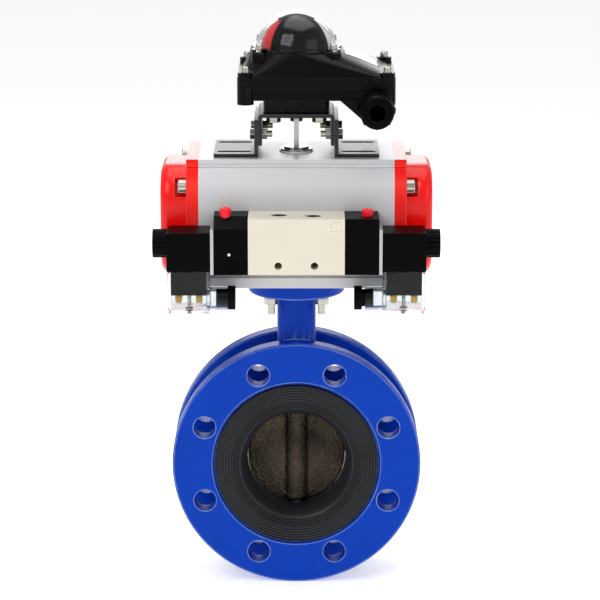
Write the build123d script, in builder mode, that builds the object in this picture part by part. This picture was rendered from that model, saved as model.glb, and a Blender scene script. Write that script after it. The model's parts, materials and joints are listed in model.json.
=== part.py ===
"""Pneumatically actuated flanged butterfly valve with a solenoid valve and a limit switch box.

Frame: origin at the centre of the inlet flange face, +Y along the flow, +Z up along the stem.
All sizes are millimetres. The valve stands closed.
"""

from build123d import *
import math
import os

# ---- valve body, DN80 PN16
BORE_R = 40.0
FACE_TO_FACE = 64.0
FLANGE_R = 100.0
FLANGE_T = 16.0
BOLT_CIRCLE_R = 80.0
BOLT_HOLE_R = 9.0
BOLT_COUNT = 8
RECESS_R = 66.2
RECESS_DEPTH = 4.0
SHELL_R = 56.0
LINER_SEAT_R = 46.0
LINER_LIP_R = 65.2
LINER_PROUD = 1.0
LIP_GROOVES = (54.0, 56.6, 59.2, 61.8)
LIP_CONE_R = 52.0
LIP_CONE_DEPTH = 2.5
CONE_GROOVE_R = 49.0
RECESS_EDGE = 1.8
NECK_X = 31.0
NECK_Y = 34.0
NECK_CORNER_R = 9.0
NECK_FILLET_R = 3.0
BOTTOM_BOSS_R = 15.0
BOTTOM_BOSS_Z = -72.0
BOTTOM_BOSS_L = 40.0
STEM_BORE_Z = -64.0
TOP_FLANGE_R = 38.5
TOP_FLANGE_Z = 137.0
TOP_FLANGE_T = 12.0
TOP_BOLT_R = 57.15 / 2
TOP_BOLT_HOLE_R = 3.3
STUD_R = 3.0
STUD_L = 36.0
STUD_IN_L = 9.0
STUD_NUT_FLATS = 10.0
STUD_NUT_T = 5.2
STUD_WASHER_R = 5.2
STUD_WASHER_T = 1.6
STEM_Y = FACE_TO_FACE / 2
STEM_R = 6.3
STEM_LOW_Z = -62.0
BUSH_R = 8.5
STEM_SQUARE = 9.0
STEM_SQUARE_L = 18.0
BUSH_SPANS = ((-63.0, 14.0), (LINER_SEAT_R + 1, 24.0), (106.0, 30.0))
SEAL_HEIGHTS = (LINER_SEAT_R + 26, 137.5, 141.5)
SEAL_T = 3.2
DISC_SPHERE_R = 39.7
DISC_T = 9.0
DISC_BOSS_R = 10.2
COLLAR_HEIGHTS = (-36.5, 33.5)
COLLAR_T = 3.0
PIN_R = 2.5
PIN_HEIGHTS = (18.0, -18.0)
PIN_END_Y = STEM_Y - STEM_R - 1
PIN_MOUTH_Y = STEM_Y + DISC_BOSS_R + 2

# ---- rack and pinion actuator, 75 mm bore
BASE_Z = TOP_FLANGE_Z + TOP_FLANGE_T
ACTUATOR_H = 102.0
TOP_Z = BASE_Z + ACTUATOR_H
AXIS_Z = BASE_Z + ACTUATOR_H / 2
BODY_HALF_X = 76.6
BODY_HALF_Y = 47.0
TOP_HALF_Y = 40.0
SHOULDER_DROP = 18.0
CYLINDER_R = 37.5
CAP_FLANGE_T = 9.6
CAP_END_X = 107.0
CAP_DRUM_Y = 86.0
CAP_DRUM_Z = 88.0
CAP_DRUM_CORNER_R = 27.0
CAP_EDGE_R = 7.0
CAP_HOLLOW_R = 33.0
CAP_WALL_T = 6.0
CAP_NOTCH_R = 8.0
CAP_NOTCH_L = 9.0
CAP_SCREW_R = 3.0
CAP_SEAL_W = 3.0
CAP_SEAL_T = 2.4
CAP_SCREWS = ((-40.5, 29.5), (36.5, 40.5), (40.5, -29.5), (-36.5, -40.5))
MODULE = 1.5
PINION_TEETH = 18
PITCH_R = MODULE * PINION_TEETH / 2
PRESSURE_ANGLE = math.radians(20)
BACKLASH = 0.1
PISTON_INNER_X = 32.0
PISTON_T = 20.0
PISTON_R = 37.3
RACK_TIP_X = 30.5
RACK_H = 20.0
STOP_X = 15.0
STOP_Z = AXIS_Z - 21
STOP_SCREW_R = 3.95
STOP_SCREW_PROUD = 14.0
STOP_NUT_FLATS = 13.0
STOP_NUT_T = 6.8
SHAFT_LOW_R = 13.0
SHAFT_TOP_R = 10.0
BEARING_LOW_R = 16.0
BEARING_TOP_R = 12.0
SHAFT_PROUD = 4.0
CAM_T = 10.0
CAM_FLAT = 15.5
CAM_REACH_R = 24.0
STOP_GAP = 0.05

# ---- solenoid valve
FRONT_Y = STEM_Y - BODY_HALF_Y
SOL_HALF_X = 37.3
SOL_FRONT_Y = FRONT_Y - 35
SOL_BACK_Y = FRONT_Y - 1
SOL_LOW_Z = 168.0
SOL_HIGH_Z = 212.0
SPOOL_Y = FRONT_Y - 19.5
SPOOL_Z = 190.0
SPOOL_R = 6.0
SPOOL_WAIST_R = 3.6
SPOOL_GROOVES = (-28, -16, -4, 8, 20)
PORT_R = 6.6
PORT_MOUTH_R = 7.6
PASSAGE_R = 3.0
TOP_PORTS = ((-13.3, SPOOL_Y + 4), (13.3, SPOOL_Y + 1))
LOW_PORTS_X = (-25, 0, 25)
FIXING_X = 14.0
FIXING_Z = AXIS_Z - 25
FIXING_SEAT_Y = SOL_FRONT_Y + 31
AIR_HOLE_X = 12.0
AIR_HOLE_Z = AXIS_Z - 3
PILOT_OUT_X = 64.0
PLATE_T = 2.5
COIL_IN_X = PILOT_OUT_X + PLATE_T
COIL_OUT_X = COIL_IN_X + 34
COIL_LOW_Z = 170.0
COIL_HIGH_Z = 201.0
COIL_NUT_X = COIL_OUT_X + 11
PLUG_LOW_Z = 137.0
PLUG_MID_X = COIL_IN_X + 17
GLAND_Z = 146.5
BUTTON_X = 55.0
BUTTON_R = 4.3
BUTTON_RISE = {-1: 6.0, 1: 5.0}
TUBE_R = 5.5
PLUNGER_R = 4.4
COIL_W = 31.0
COIL_NUT_R = 11.2
PLUG_X = 33.0
PLUG_Y = 28.0
PLUG_WALL = 2.3
INSERT_LOW_Z = 151.0
STUB_END_X = 53.5
STUB_R = 9.2
CREST_R = 9.8
STUB_BORE_R = 7.0
CABLE_HOLE_R = 4.0

# ---- bracket and limit switch box
SHEET_T = 3.0
FOOT_OUT_X = 65.0
LEG_X = 33.0
FOOT_HALF_Y = 32.0
PLATE_Z = 282.0
BOLT_Z = 268.0
SIDE_DROP = 22.0
FOOT_TOP_Z = 281.0
BRACKET_BOLT_Y = 20.0
BRACKET_HOLE_R = 2.6
BOX_BOLT_XY = 18.0
BOX_BOLT_HOLE_R = 3.3
SLOT_Y = 21.0
SLOT_L = 27.0
SLOT_W = 6.0
BOX_BASE_Z = PLATE_Z + SHEET_T
TUB_Z = 298.0
JOINT_Z = 312.0
RIM_Z = 320.0
SEAT_Z = 333.0
HUMP_Z = 324.0
BOX_LEFT_X = -46.0
BOX_RIGHT_X = 77.0
BOX_HALF_Y = 49.0
BOX_MID_X = (BOX_LEFT_X + BOX_RIGHT_X) / 2
BOX_WIDTH = BOX_RIGHT_X - BOX_LEFT_X
POST_R = 6.5
PEDESTAL = 52.0
FLOOR_Z = TUB_Z + 3
SHAFT_HOLE_R = 5.1
SHAFT_R = 5.0
GLAND_X = 62.0
BOX_GLAND_Z = 293.0
CONDUIT_R = 14.2
CONDUIT_BORE_R = 9.0
CABLE_R = 6.5
GLAND_NUT_R = 13.4
CAM_LEVELS = (302.5, 308.0)
DOME_R = 32.0
DOME_T = 2.0
DOME_FLANGE_R = 36.0
DOME_FLANGE_T = 3.0
EAR_R = 5.8
WINDOW_DEG = 80.0
FLAG_TURN = 180
QUARTER_TURNS = (0, 90, 180, 270)
DOME_Z = 331.0
MASK_TURN = 7.0
CROWN_R = 11.0
LUG_X = 29.0
LUG_Y = 27.0

LEFT, RIGHT = -1, 1
SIDE_NAMES = {LEFT: "left", RIGHT: "right"}


def across(x, y=STEM_Y, z=AXIS_Z):
    """A plane square to X: its own x runs along +Y and its own y along +Z."""
    return Plane(origin=(x, y, z), x_dir=(0, 1, 0), z_dir=(1, 0, 0))


def facing(y, x=0.0, z=0.0):
    """A plane square to Y that looks towards the inlet: its own x runs along +X and its own y along +Z."""
    return Plane(origin=(x, y, z), x_dir=(1, 0, 0), z_dir=(0, -1, 0))


def level(z, x=0.0, y=STEM_Y):
    """A level plane centred on the stem axis unless told otherwise."""
    return Plane(origin=(x, y, z))


def save(name, shape):
    """Labels one finished piece and writes it as its own file."""
    shape.label = name
    export_step(shape, f"parts/{name}.step")


def rod(plane, radius, length):
    """A plain round bar that starts on a plane and runs along its normal."""
    with BuildPart() as bar:
        with BuildSketch(plane):
            Circle(radius)
        extrude(amount=length)
    return bar.part


def ring(plane, outer, inner, length):
    """A plain round sleeve that starts on a plane and runs along its normal."""
    with BuildPart() as sleeve:
        with BuildSketch(plane):
            Circle(outer)
            Circle(inner, mode=Mode.SUBTRACT)
        extrude(amount=length)
    return sleeve.part


def socket_screw(plane, head_r, head_h, shank_r, shank_l):
    """A socket head screw: the plane is under its head, and its shank runs against the normal."""
    with BuildPart() as screw:
        with BuildSketch(plane):
            Circle(head_r)
        extrude(amount=head_h)
        chamfer(screw.faces().sort_by(Axis(plane.origin, plane.z_dir))[-1].edges(), head_h * 0.08)
        with BuildSketch(plane):
            Circle(shank_r)
        extrude(amount=-shank_l)
        with BuildSketch(plane.offset(head_h)):
            RegularPolygon(head_r * 0.52, 6)
        extrude(amount=-head_h * 0.55, mode=Mode.SUBTRACT)
    return screw.part


def hex_screw(plane, across_flats, head_h, shank_r, shank_l):
    """A hexagon head screw: the plane is under its head, and its shank runs against the normal."""
    with BuildPart() as screw:
        with BuildSketch(plane):
            RegularPolygon(across_flats / 2, 6, major_radius=False)
        extrude(amount=head_h)
        with BuildSketch(plane):
            Circle(shank_r)
        extrude(amount=-shank_l)
    return screw.part


def hex_nut(plane, across_flats, bore_r, height):
    """A plain hexagon nut that starts on a plane and runs along its normal."""
    with BuildPart() as nut:
        with BuildSketch(plane):
            RegularPolygon(across_flats / 2, 6, major_radius=False)
            Circle(bore_r, mode=Mode.SUBTRACT)
        extrude(amount=height)
    return nut.part


def group(name, pieces):
    """Writes identical pieces as separate solids of one node."""
    save(name, Compound(children=pieces))


# ------------------------------------------------------------------ valve


def valve_body():
    """Two flanges, the shell between them, the neck and the actuator flange, cast as one."""
    with BuildPart() as body:
        for face_y, inward in ((0, -FLANGE_T), (FACE_TO_FACE, FLANGE_T)):
            with BuildSketch(facing(face_y)):
                Circle(FLANGE_R)
            extrude(amount=inward)
        chamfer(body.edges().filter_by(GeomType.CIRCLE).filter_by(lambda e: e.radius == FLANGE_R), 1)
        with BuildSketch(facing(0)):
            Circle(SHELL_R)
        extrude(amount=-FACE_TO_FACE)
        with BuildSketch(level(0)):
            RectangleRounded(NECK_X, NECK_Y, NECK_CORNER_R)
        extrude(amount=TOP_FLANGE_Z)
        with BuildSketch(level(BOTTOM_BOSS_Z)):
            Circle(BOTTOM_BOSS_R)
        extrude(amount=BOTTOM_BOSS_L)
        with BuildSketch(level(TOP_FLANGE_Z)):
            Circle(TOP_FLANGE_R)
        extrude(amount=TOP_FLANGE_T)
        chamfer(body.edges().filter_by(GeomType.CIRCLE).filter_by(lambda e: e.radius == TOP_FLANGE_R), 1)
        neck_top = body.edges().filter_by_position(Axis.Z, TOP_FLANGE_Z - 0.1, TOP_FLANGE_Z + 0.1)
        fillet(neck_top.filter_by(lambda e: abs(e.center().X) < NECK_X / 2 + 1), NECK_FILLET_R)
        for face_y, inward in ((0, -RECESS_DEPTH), (FACE_TO_FACE, RECESS_DEPTH)):
            with BuildSketch(facing(face_y)):
                Circle(RECESS_R)
            extrude(amount=inward, mode=Mode.SUBTRACT)
        recess_edges = body.edges().filter_by(GeomType.CIRCLE).filter_by(lambda e: e.radius == RECESS_R)
        chamfer(recess_edges.filter_by(lambda e: e.center().Y in (0, FACE_TO_FACE)), RECESS_EDGE)
        with BuildSketch(facing(0)):
            Circle(LINER_SEAT_R)
            with PolarLocations(BOLT_CIRCLE_R, BOLT_COUNT, start_angle=180 / BOLT_COUNT):
                Circle(BOLT_HOLE_R)
        extrude(amount=-FACE_TO_FACE, mode=Mode.SUBTRACT)
        with BuildSketch(level(STEM_BORE_Z)):
            Circle(BUSH_R)
        extrude(amount=BASE_Z - STEM_BORE_Z + 1, mode=Mode.SUBTRACT)
        with BuildSketch(level(TOP_FLANGE_Z)):
            with PolarLocations(TOP_BOLT_R, 4, start_angle=45):
                Circle(TOP_BOLT_HOLE_R)
        extrude(amount=TOP_FLANGE_T, mode=Mode.SUBTRACT)
    save("valve_body", body.part)


def seat_liner():
    """The rubber liner: a sleeve with a grooved lip at each face, which is also the flange gasket."""
    half = STEM_Y + LINER_PROUD
    lip_back = STEM_Y - RECESS_DEPTH
    with BuildPart() as liner:
        with BuildSketch(across(0, z=0)):
            with BuildLine():
                Polyline((0, LINER_SEAT_R), (lip_back, LINER_SEAT_R), (lip_back, LINER_LIP_R),
                         (half, LINER_LIP_R), (half, LIP_CONE_R), (half - LIP_CONE_DEPTH, LINER_SEAT_R),
                         (half - 8, BORE_R + 2.4), (half - 12, BORE_R), (0, BORE_R), close=True)
            make_face()
            with Locations(*[(half, radius) for radius in LIP_GROOVES]):
                Rectangle(1.6, 1.1, mode=Mode.SUBTRACT)
            with Locations((half - LIP_CONE_DEPTH / 2, CONE_GROOVE_R)):
                Rectangle(1.6, 1.1, mode=Mode.SUBTRACT)
            mirror(about=Plane.YZ)
        revolve(axis=Axis((0, STEM_Y, 0), (0, 1, 0)))
        with BuildSketch(level(-LINER_SEAT_R - 1)):
            Circle(STEM_R + STOP_GAP)
        extrude(amount=2 * LINER_SEAT_R + 2, mode=Mode.SUBTRACT)
    save("seat_liner", liner.part)


def valve_disc():
    """The disc: a plate with a vertical stem boss, its rim on a sphere so that it turns in the liner."""
    with BuildPart() as disc:
        with BuildSketch(facing(STEM_Y + DISC_T / 2)):
            Circle(BORE_R)
        extrude(amount=DISC_T)
        with BuildSketch(level(-BORE_R)):
            Circle(DISC_BOSS_R)
        extrude(amount=2 * BORE_R)
        for collar_z in COLLAR_HEIGHTS:
            with BuildSketch(level(collar_z)):
                Circle(DISC_BOSS_R + 1)
            extrude(amount=COLLAR_T)
        with Locations((0, STEM_Y, 0)):
            Sphere(DISC_SPHERE_R, mode=Mode.INTERSECT)
        with BuildSketch(level(-BORE_R)):
            Circle(STEM_R)
        extrude(amount=2 * BORE_R, mode=Mode.SUBTRACT)
        with BuildSketch(facing(PIN_MOUTH_Y)):
            with Locations(*[(0, z) for z in PIN_HEIGHTS]):
                Circle(PIN_R)
        extrude(amount=PIN_MOUTH_Y - PIN_END_Y, mode=Mode.SUBTRACT)
    save("valve_disc", disc.part)


def valve_stem():
    """The one-piece stem, round through the disc and the neck, square where it drives."""
    with BuildPart() as stem:
        with BuildSketch(level(STEM_LOW_Z)):
            Circle(STEM_R)
        extrude(amount=BASE_Z - 3 - STEM_LOW_Z)
        with BuildSketch(level(BASE_Z - 3)):
            Rectangle(STEM_SQUARE, STEM_SQUARE)
        extrude(amount=STEM_SQUARE_L)
        with BuildSketch(facing(PIN_MOUTH_Y)):
            with Locations(*[(0, z) for z in PIN_HEIGHTS]):
                Circle(PIN_R)
        extrude(amount=PIN_MOUTH_Y - PIN_END_Y, mode=Mode.SUBTRACT)
    save("valve_stem", stem.part)
    head_y = STEM_Y + DISC_BOSS_R - 1
    group("disc_pins", [rod(facing(head_y, z=z), PIN_R, head_y - PIN_END_Y) for z in PIN_HEIGHTS])


def stem_fittings():
    """Bushes and seal rings that the stem runs in."""
    clear_r = STEM_R + STOP_GAP
    group("stem_bushes", [ring(level(z), BUSH_R, clear_r, length) for z, length in BUSH_SPANS])
    group("stem_seals", [ring(level(z), BUSH_R, clear_r, SEAL_T) for z in SEAL_HEIGHTS])


def top_flange_fasteners():
    """Studs from the actuator's base down through the valve's top flange, with washers and nuts."""
    nut_z = TOP_FLANGE_Z - STUD_WASHER_T
    pieces = []
    for turn in range(45, 405, 90):
        x = TOP_BOLT_R * math.cos(math.radians(turn))
        y = STEM_Y + TOP_BOLT_R * math.sin(math.radians(turn))
        pieces.append(rod(level(BASE_Z + STUD_IN_L, x, y), STUD_R, -STUD_L))
        pieces.append(ring(level(TOP_FLANGE_Z, x, y), STUD_WASHER_R, STUD_R + 0.1, -STUD_WASHER_T))
        pieces.append(hex_nut(level(nut_z, x, y), STUD_NUT_FLATS, STUD_R + STOP_GAP, -STUD_NUT_T))
    group("top_flange_fasteners", pieces)


# --------------------------------------------------------------- actuator


def actuator_outline():
    """The actuator's section, the same for the extruded body and the end caps' flanges."""
    top, foot = ACTUATOR_H / 2, -ACTUATOR_H / 2
    with BuildSketch(mode=Mode.PRIVATE) as outline:
        with BuildLine():
            half = Polyline((0, top), (TOP_HALF_Y, top), (TOP_HALF_Y + 0.8, top - 3),
                            (TOP_HALF_Y - 1, top - 4), (TOP_HALF_Y - 1, top - 6),
                            (TOP_HALF_Y + 0.8, top - 7), (TOP_HALF_Y + 1.5, top - 9),
                            (BODY_HALF_Y, top - SHOULDER_DROP), (BODY_HALF_Y, foot + 17),
                            (BODY_HALF_Y - 5, foot + 12), (BODY_HALF_Y - 5, foot + 9),
                            (BODY_HALF_Y - 1.5, foot + 8), (BODY_HALF_Y - 1.5, foot), (0, foot))
            mirror(half, about=Plane.YZ)
        make_face()
    return outline.sketch


def actuator_body():
    """The extruded cylinder block that holds both pistons and the pinion."""
    with BuildPart() as block:
        with BuildSketch(across(-BODY_HALF_X)):
            add(actuator_outline())
            Circle(CYLINDER_R, mode=Mode.SUBTRACT)
        extrude(amount=2 * BODY_HALF_X)
        with BuildSketch(level(BASE_Z)):
            Circle(BEARING_LOW_R)
        extrude(amount=ACTUATOR_H / 2, mode=Mode.SUBTRACT)
        with BuildSketch(level(BASE_Z)):
            with PolarLocations(TOP_BOLT_R, 4, start_angle=45):
                Circle(STUD_R)
        extrude(amount=STUD_IN_L, mode=Mode.SUBTRACT)
        with BuildSketch(level(AXIS_Z)):
            Circle(BEARING_TOP_R)
        extrude(amount=ACTUATOR_H / 2, mode=Mode.SUBTRACT)
        for side in (LEFT, RIGHT):
            with BuildSketch(across(side * BODY_HALF_X)):
                with Locations(*CAP_SCREWS):
                    Circle(CAP_SCREW_R)
            extrude(amount=-side * 16, mode=Mode.SUBTRACT)
        with BuildSketch(facing(STEM_Y + BODY_HALF_Y + 1, z=STOP_Z)):
            with Locations((-STOP_X, 0), (STOP_X, 0)):
                Circle(4.0)
        extrude(amount=BODY_HALF_Y + 1, mode=Mode.SUBTRACT)
        with BuildSketch(facing(FRONT_Y - 1, z=AIR_HOLE_Z)):
            with Locations((-AIR_HOLE_X, 0), (AIR_HOLE_X, 0)):
                Circle(4.0)
        extrude(amount=-20, mode=Mode.SUBTRACT)
        with BuildSketch(facing(FRONT_Y - 1, z=FIXING_Z)):
            with Locations((-FIXING_X, 0), (FIXING_X, 0)):
                Circle(1.5)
        extrude(amount=-9, mode=Mode.SUBTRACT)
    save("actuator_body", block.part)


def end_caps():
    """A cap at each end: a flange with the body's outline and a rounded chamber, notched for the screws."""
    seal_r = CYLINDER_R + 1
    for side in (LEFT, RIGHT):
        with BuildPart() as cap:
            with BuildSketch(across(side * BODY_HALF_X)):
                add(actuator_outline())
            extrude(amount=side * CAP_FLANGE_T)
            with BuildSketch(across(side * (BODY_HALF_X + CAP_FLANGE_T))):
                RectangleRounded(CAP_DRUM_Y, CAP_DRUM_Z, CAP_DRUM_CORNER_R)
            extrude(amount=side * (CAP_END_X - BODY_HALF_X - CAP_FLANGE_T))
            fillet(cap.faces().sort_by(Axis.X)[-1 if side > 0 else 0].edges(), CAP_EDGE_R)
            with BuildSketch(across(side * (BODY_HALF_X + CAP_FLANGE_T))):
                with Locations(*CAP_SCREWS):
                    Circle(CAP_NOTCH_R)
            extrude(amount=side * CAP_NOTCH_L, mode=Mode.SUBTRACT)
            with BuildSketch(across(side * BODY_HALF_X)):
                with Locations(*CAP_SCREWS):
                    Circle(CAP_SCREW_R + 0.3)
            extrude(amount=side * CAP_FLANGE_T, mode=Mode.SUBTRACT)
            with BuildSketch(across(side * BODY_HALF_X)):
                Circle(CAP_HOLLOW_R)
            extrude(amount=side * (CAP_END_X - BODY_HALF_X - CAP_WALL_T), mode=Mode.SUBTRACT)
            with BuildSketch(across(side * BODY_HALF_X)):
                Circle(seal_r + CAP_SEAL_W)
                Circle(seal_r, mode=Mode.SUBTRACT)
            extrude(amount=side * CAP_SEAL_T, mode=Mode.SUBTRACT)
        save(f"end_cap_{SIDE_NAMES[side]}", cap.part)
    seat_x = BODY_HALF_X + CAP_FLANGE_T
    screws = []
    for side in (LEFT, RIGHT):
        for y, z in CAP_SCREWS:
            seat = Plane(origin=(side * seat_x, STEM_Y + y, AXIS_Z + z), x_dir=(0, 1, 0), z_dir=(side, 0, 0))
            screws.append(socket_screw(seat, 5.6, 6.5, CAP_SCREW_R, CAP_FLANGE_T + 14))
    group("end_cap_screws", screws)
    seals = [ring(across(side * BODY_HALF_X), seal_r + CAP_SEAL_W, seal_r, side * CAP_SEAL_T)
             for side in (LEFT, RIGHT)]
    group("end_cap_seals", seals)


def involute_point(base_r, radius, start_angle, turn):
    """A point of an involute flank at a radius; turn is the side it leans to."""
    spread = math.acos(min(1.0, base_r / radius))
    angle = start_angle + turn * (math.tan(spread) - spread)
    return radius * math.cos(angle), radius * math.sin(angle)


def pinion_sketch():
    """The pinion's toothed section, with one tooth centred on +X."""
    base_r = PITCH_R * math.cos(PRESSURE_ANGLE)
    tip_r = PITCH_R + MODULE
    root_r = PITCH_R - 1.25 * MODULE
    lean = math.tan(PRESSURE_ANGLE) - PRESSURE_ANGLE
    half_tooth = (math.pi * MODULE / 2 - BACKLASH) / 2 / PITCH_R + lean
    radii = [base_r + (tip_r - base_r) * k / 4 for k in range(5)]
    points = []
    for tooth in range(PINION_TEETH):
        middle = 2 * math.pi * tooth / PINION_TEETH
        rising = [involute_point(base_r, r, middle - half_tooth, 1) for r in radii]
        falling = [involute_point(base_r, r, middle + half_tooth, -1) for r in reversed(radii)]
        points.append((root_r * math.cos(middle - half_tooth), root_r * math.sin(middle - half_tooth)))
        points += rising + falling
        points.append((root_r * math.cos(middle + half_tooth), root_r * math.sin(middle + half_tooth)))
    with BuildSketch(mode=Mode.PRIVATE) as section:
        with BuildLine():
            Polyline(*points, close=True)
        make_face()
    return section.sketch


def pinion():
    """The pinion shaft: a square socket below, teeth in the middle, a slot for the switch shaft on top."""
    with BuildPart() as gear:
        with BuildSketch(level(BASE_Z + 0.5)):
            Circle(SHAFT_LOW_R)
        extrude(amount=AXIS_Z - 16 - BASE_Z - 0.5)
        with BuildSketch(level(AXIS_Z - 16)):
            Circle(11)
        extrude(amount=34)
        with BuildSketch(level(AXIS_Z - RACK_H / 2 - 1)):
            add(pinion_sketch())
        extrude(amount=RACK_H + 2)
        with BuildSketch(level(AXIS_Z + 18)):
            Circle(SHAFT_TOP_R)
        extrude(amount=TOP_Z + SHAFT_PROUD - AXIS_Z - 18)
        with BuildSketch(level(BASE_Z + 0.5)):
            Rectangle(STEM_SQUARE + 0.2, STEM_SQUARE + 0.2)
        extrude(amount=17, mode=Mode.SUBTRACT)
        with BuildSketch(level(TOP_Z + SHAFT_PROUD)):
            Rectangle(4.2, 22)
        extrude(amount=-6, mode=Mode.SUBTRACT)
        with BuildSketch(level(TOP_Z + 1.1)):
            Circle(SHAFT_TOP_R + 0.5)
            Circle(SHAFT_TOP_R - 1, mode=Mode.SUBTRACT)
        extrude(amount=1.3, mode=Mode.SUBTRACT)
    save("pinion", gear.part)
    save("pinion_circlip", ring(level(TOP_Z + 1.1), 12.5, 9.05, 1.2))
    clear_low, clear_top = SHAFT_LOW_R + STOP_GAP, SHAFT_TOP_R + STOP_GAP
    lower = ring(level(BASE_Z + 1), BEARING_LOW_R, clear_low, 11)
    upper = ring(level(TOP_Z - 12), BEARING_TOP_R, clear_top, 11.5)
    washer = ring(level(TOP_Z), BEARING_TOP_R + 1.5, clear_top, 1.0)
    group("pinion_bearings", [lower, upper, washer])


def stop_cam():
    """The cam under the teeth: one flat meets a stop screw closed, the other meets its fellow open."""
    with BuildPart() as cam:
        with BuildSketch(level(STOP_Z - CAM_T / 2)):
            Circle(CAM_REACH_R)
            with Locations((CAM_REACH_R / 2, CAM_REACH_R / 2)):
                Rectangle(CAM_REACH_R, CAM_REACH_R, mode=Mode.SUBTRACT)
            with Locations((0, CAM_FLAT + CAM_REACH_R / 2)):
                Rectangle(2 * CAM_REACH_R, CAM_REACH_R, mode=Mode.SUBTRACT)
            with Locations((CAM_FLAT + CAM_REACH_R / 2, 0)):
                Rectangle(CAM_REACH_R, 2 * CAM_REACH_R, mode=Mode.SUBTRACT)
            Circle(CAM_FLAT)
            Circle(SHAFT_LOW_R, mode=Mode.SUBTRACT)
        extrude(amount=CAM_T)
    save("stop_cam", cam.part)
    back_y = STEM_Y + BODY_HALF_Y
    screws, nuts = [], []
    for x in (-STOP_X, STOP_X):
        tip_y = STEM_Y + CAM_FLAT + STOP_GAP
        with BuildPart() as screw:
            with BuildSketch(facing(back_y + STOP_SCREW_PROUD, x, STOP_Z)):
                Circle(STOP_SCREW_R)
            extrude(amount=back_y + STOP_SCREW_PROUD - tip_y)
            with BuildSketch(facing(back_y + STOP_SCREW_PROUD, x, STOP_Z)):
                RegularPolygon(2.3, 6)
            extrude(amount=5, mode=Mode.SUBTRACT)
        screws.append(screw.part)
        nut_face = facing(back_y + STOP_NUT_T, x, STOP_Z)
        nuts.append(hex_nut(nut_face, STOP_NUT_FLATS, STOP_SCREW_R + STOP_GAP, STOP_NUT_T))
    group("stop_screws", screws + nuts)


def rack_tooth_outline(x, line_y, towards):
    """One straight-flanked rack tooth centred at x; towards is +1 where the pinion lies on its +Y side."""
    pitch_half = (math.pi * MODULE / 2 - BACKLASH) / 2
    slope = math.tan(PRESSURE_ANGLE)
    tip, root = MODULE, -1.25 * MODULE
    return [(x - pitch_half + root * slope, line_y + towards * root),
            (x - pitch_half + tip * slope, line_y + towards * tip),
            (x + pitch_half - tip * slope, line_y + towards * tip),
            (x + pitch_half - root * slope, line_y + towards * root)]


def pistons():
    """A piston at each side with a rack arm that reaches past the pinion, and its seal."""
    pitch = math.pi * MODULE
    for side in (LEFT, RIGHT):
        towards = side
        line_y = STEM_Y - side * PITCH_R
        root_y = line_y - towards * 1.25 * MODULE
        back_y = STEM_Y - side * (PISTON_R - 1)
        arm_x0, arm_x1 = -side * RACK_TIP_X, side * PISTON_INNER_X
        with BuildPart() as piston:
            with BuildSketch(level(AXIS_Z - RACK_H / 2, y=0)):
                with Locations(((arm_x0 + arm_x1) / 2, (root_y + back_y) / 2)):
                    Rectangle(abs(arm_x1 - arm_x0), abs(back_y - root_y))
                for k in range(-2, 7):
                    with BuildLine():
                        Polyline(*rack_tooth_outline(-side * k * pitch, line_y, towards), close=True)
                    make_face()
            extrude(amount=RACK_H)
            with BuildSketch(across(-60)):
                Circle(PISTON_R - 1)
            extrude(amount=120, mode=Mode.INTERSECT)
            with BuildSketch(across(side * PISTON_INNER_X)):
                Circle(PISTON_R)
            extrude(amount=side * PISTON_T)
            with BuildSketch(across(side * (PISTON_INNER_X + 8))):
                Circle(PISTON_R + 1)
                Circle(PISTON_R - 3, mode=Mode.SUBTRACT)
            extrude(amount=side * 4.4, mode=Mode.SUBTRACT)
            with BuildSketch(across(side * (PISTON_INNER_X + PISTON_T))):
                Circle(PISTON_R - 9)
            extrude(amount=-side * 12, mode=Mode.SUBTRACT)
        name = SIDE_NAMES[side]
        save(f"piston_{name}", piston.part)
        seal = ring(across(side * (PISTON_INNER_X + 8.1)), PISTON_R + 0.1, PISTON_R - 3, side * 4.2)
        save(f"piston_seal_{name}", seal)


# --------------------------------------------------------- solenoid valve


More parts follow.
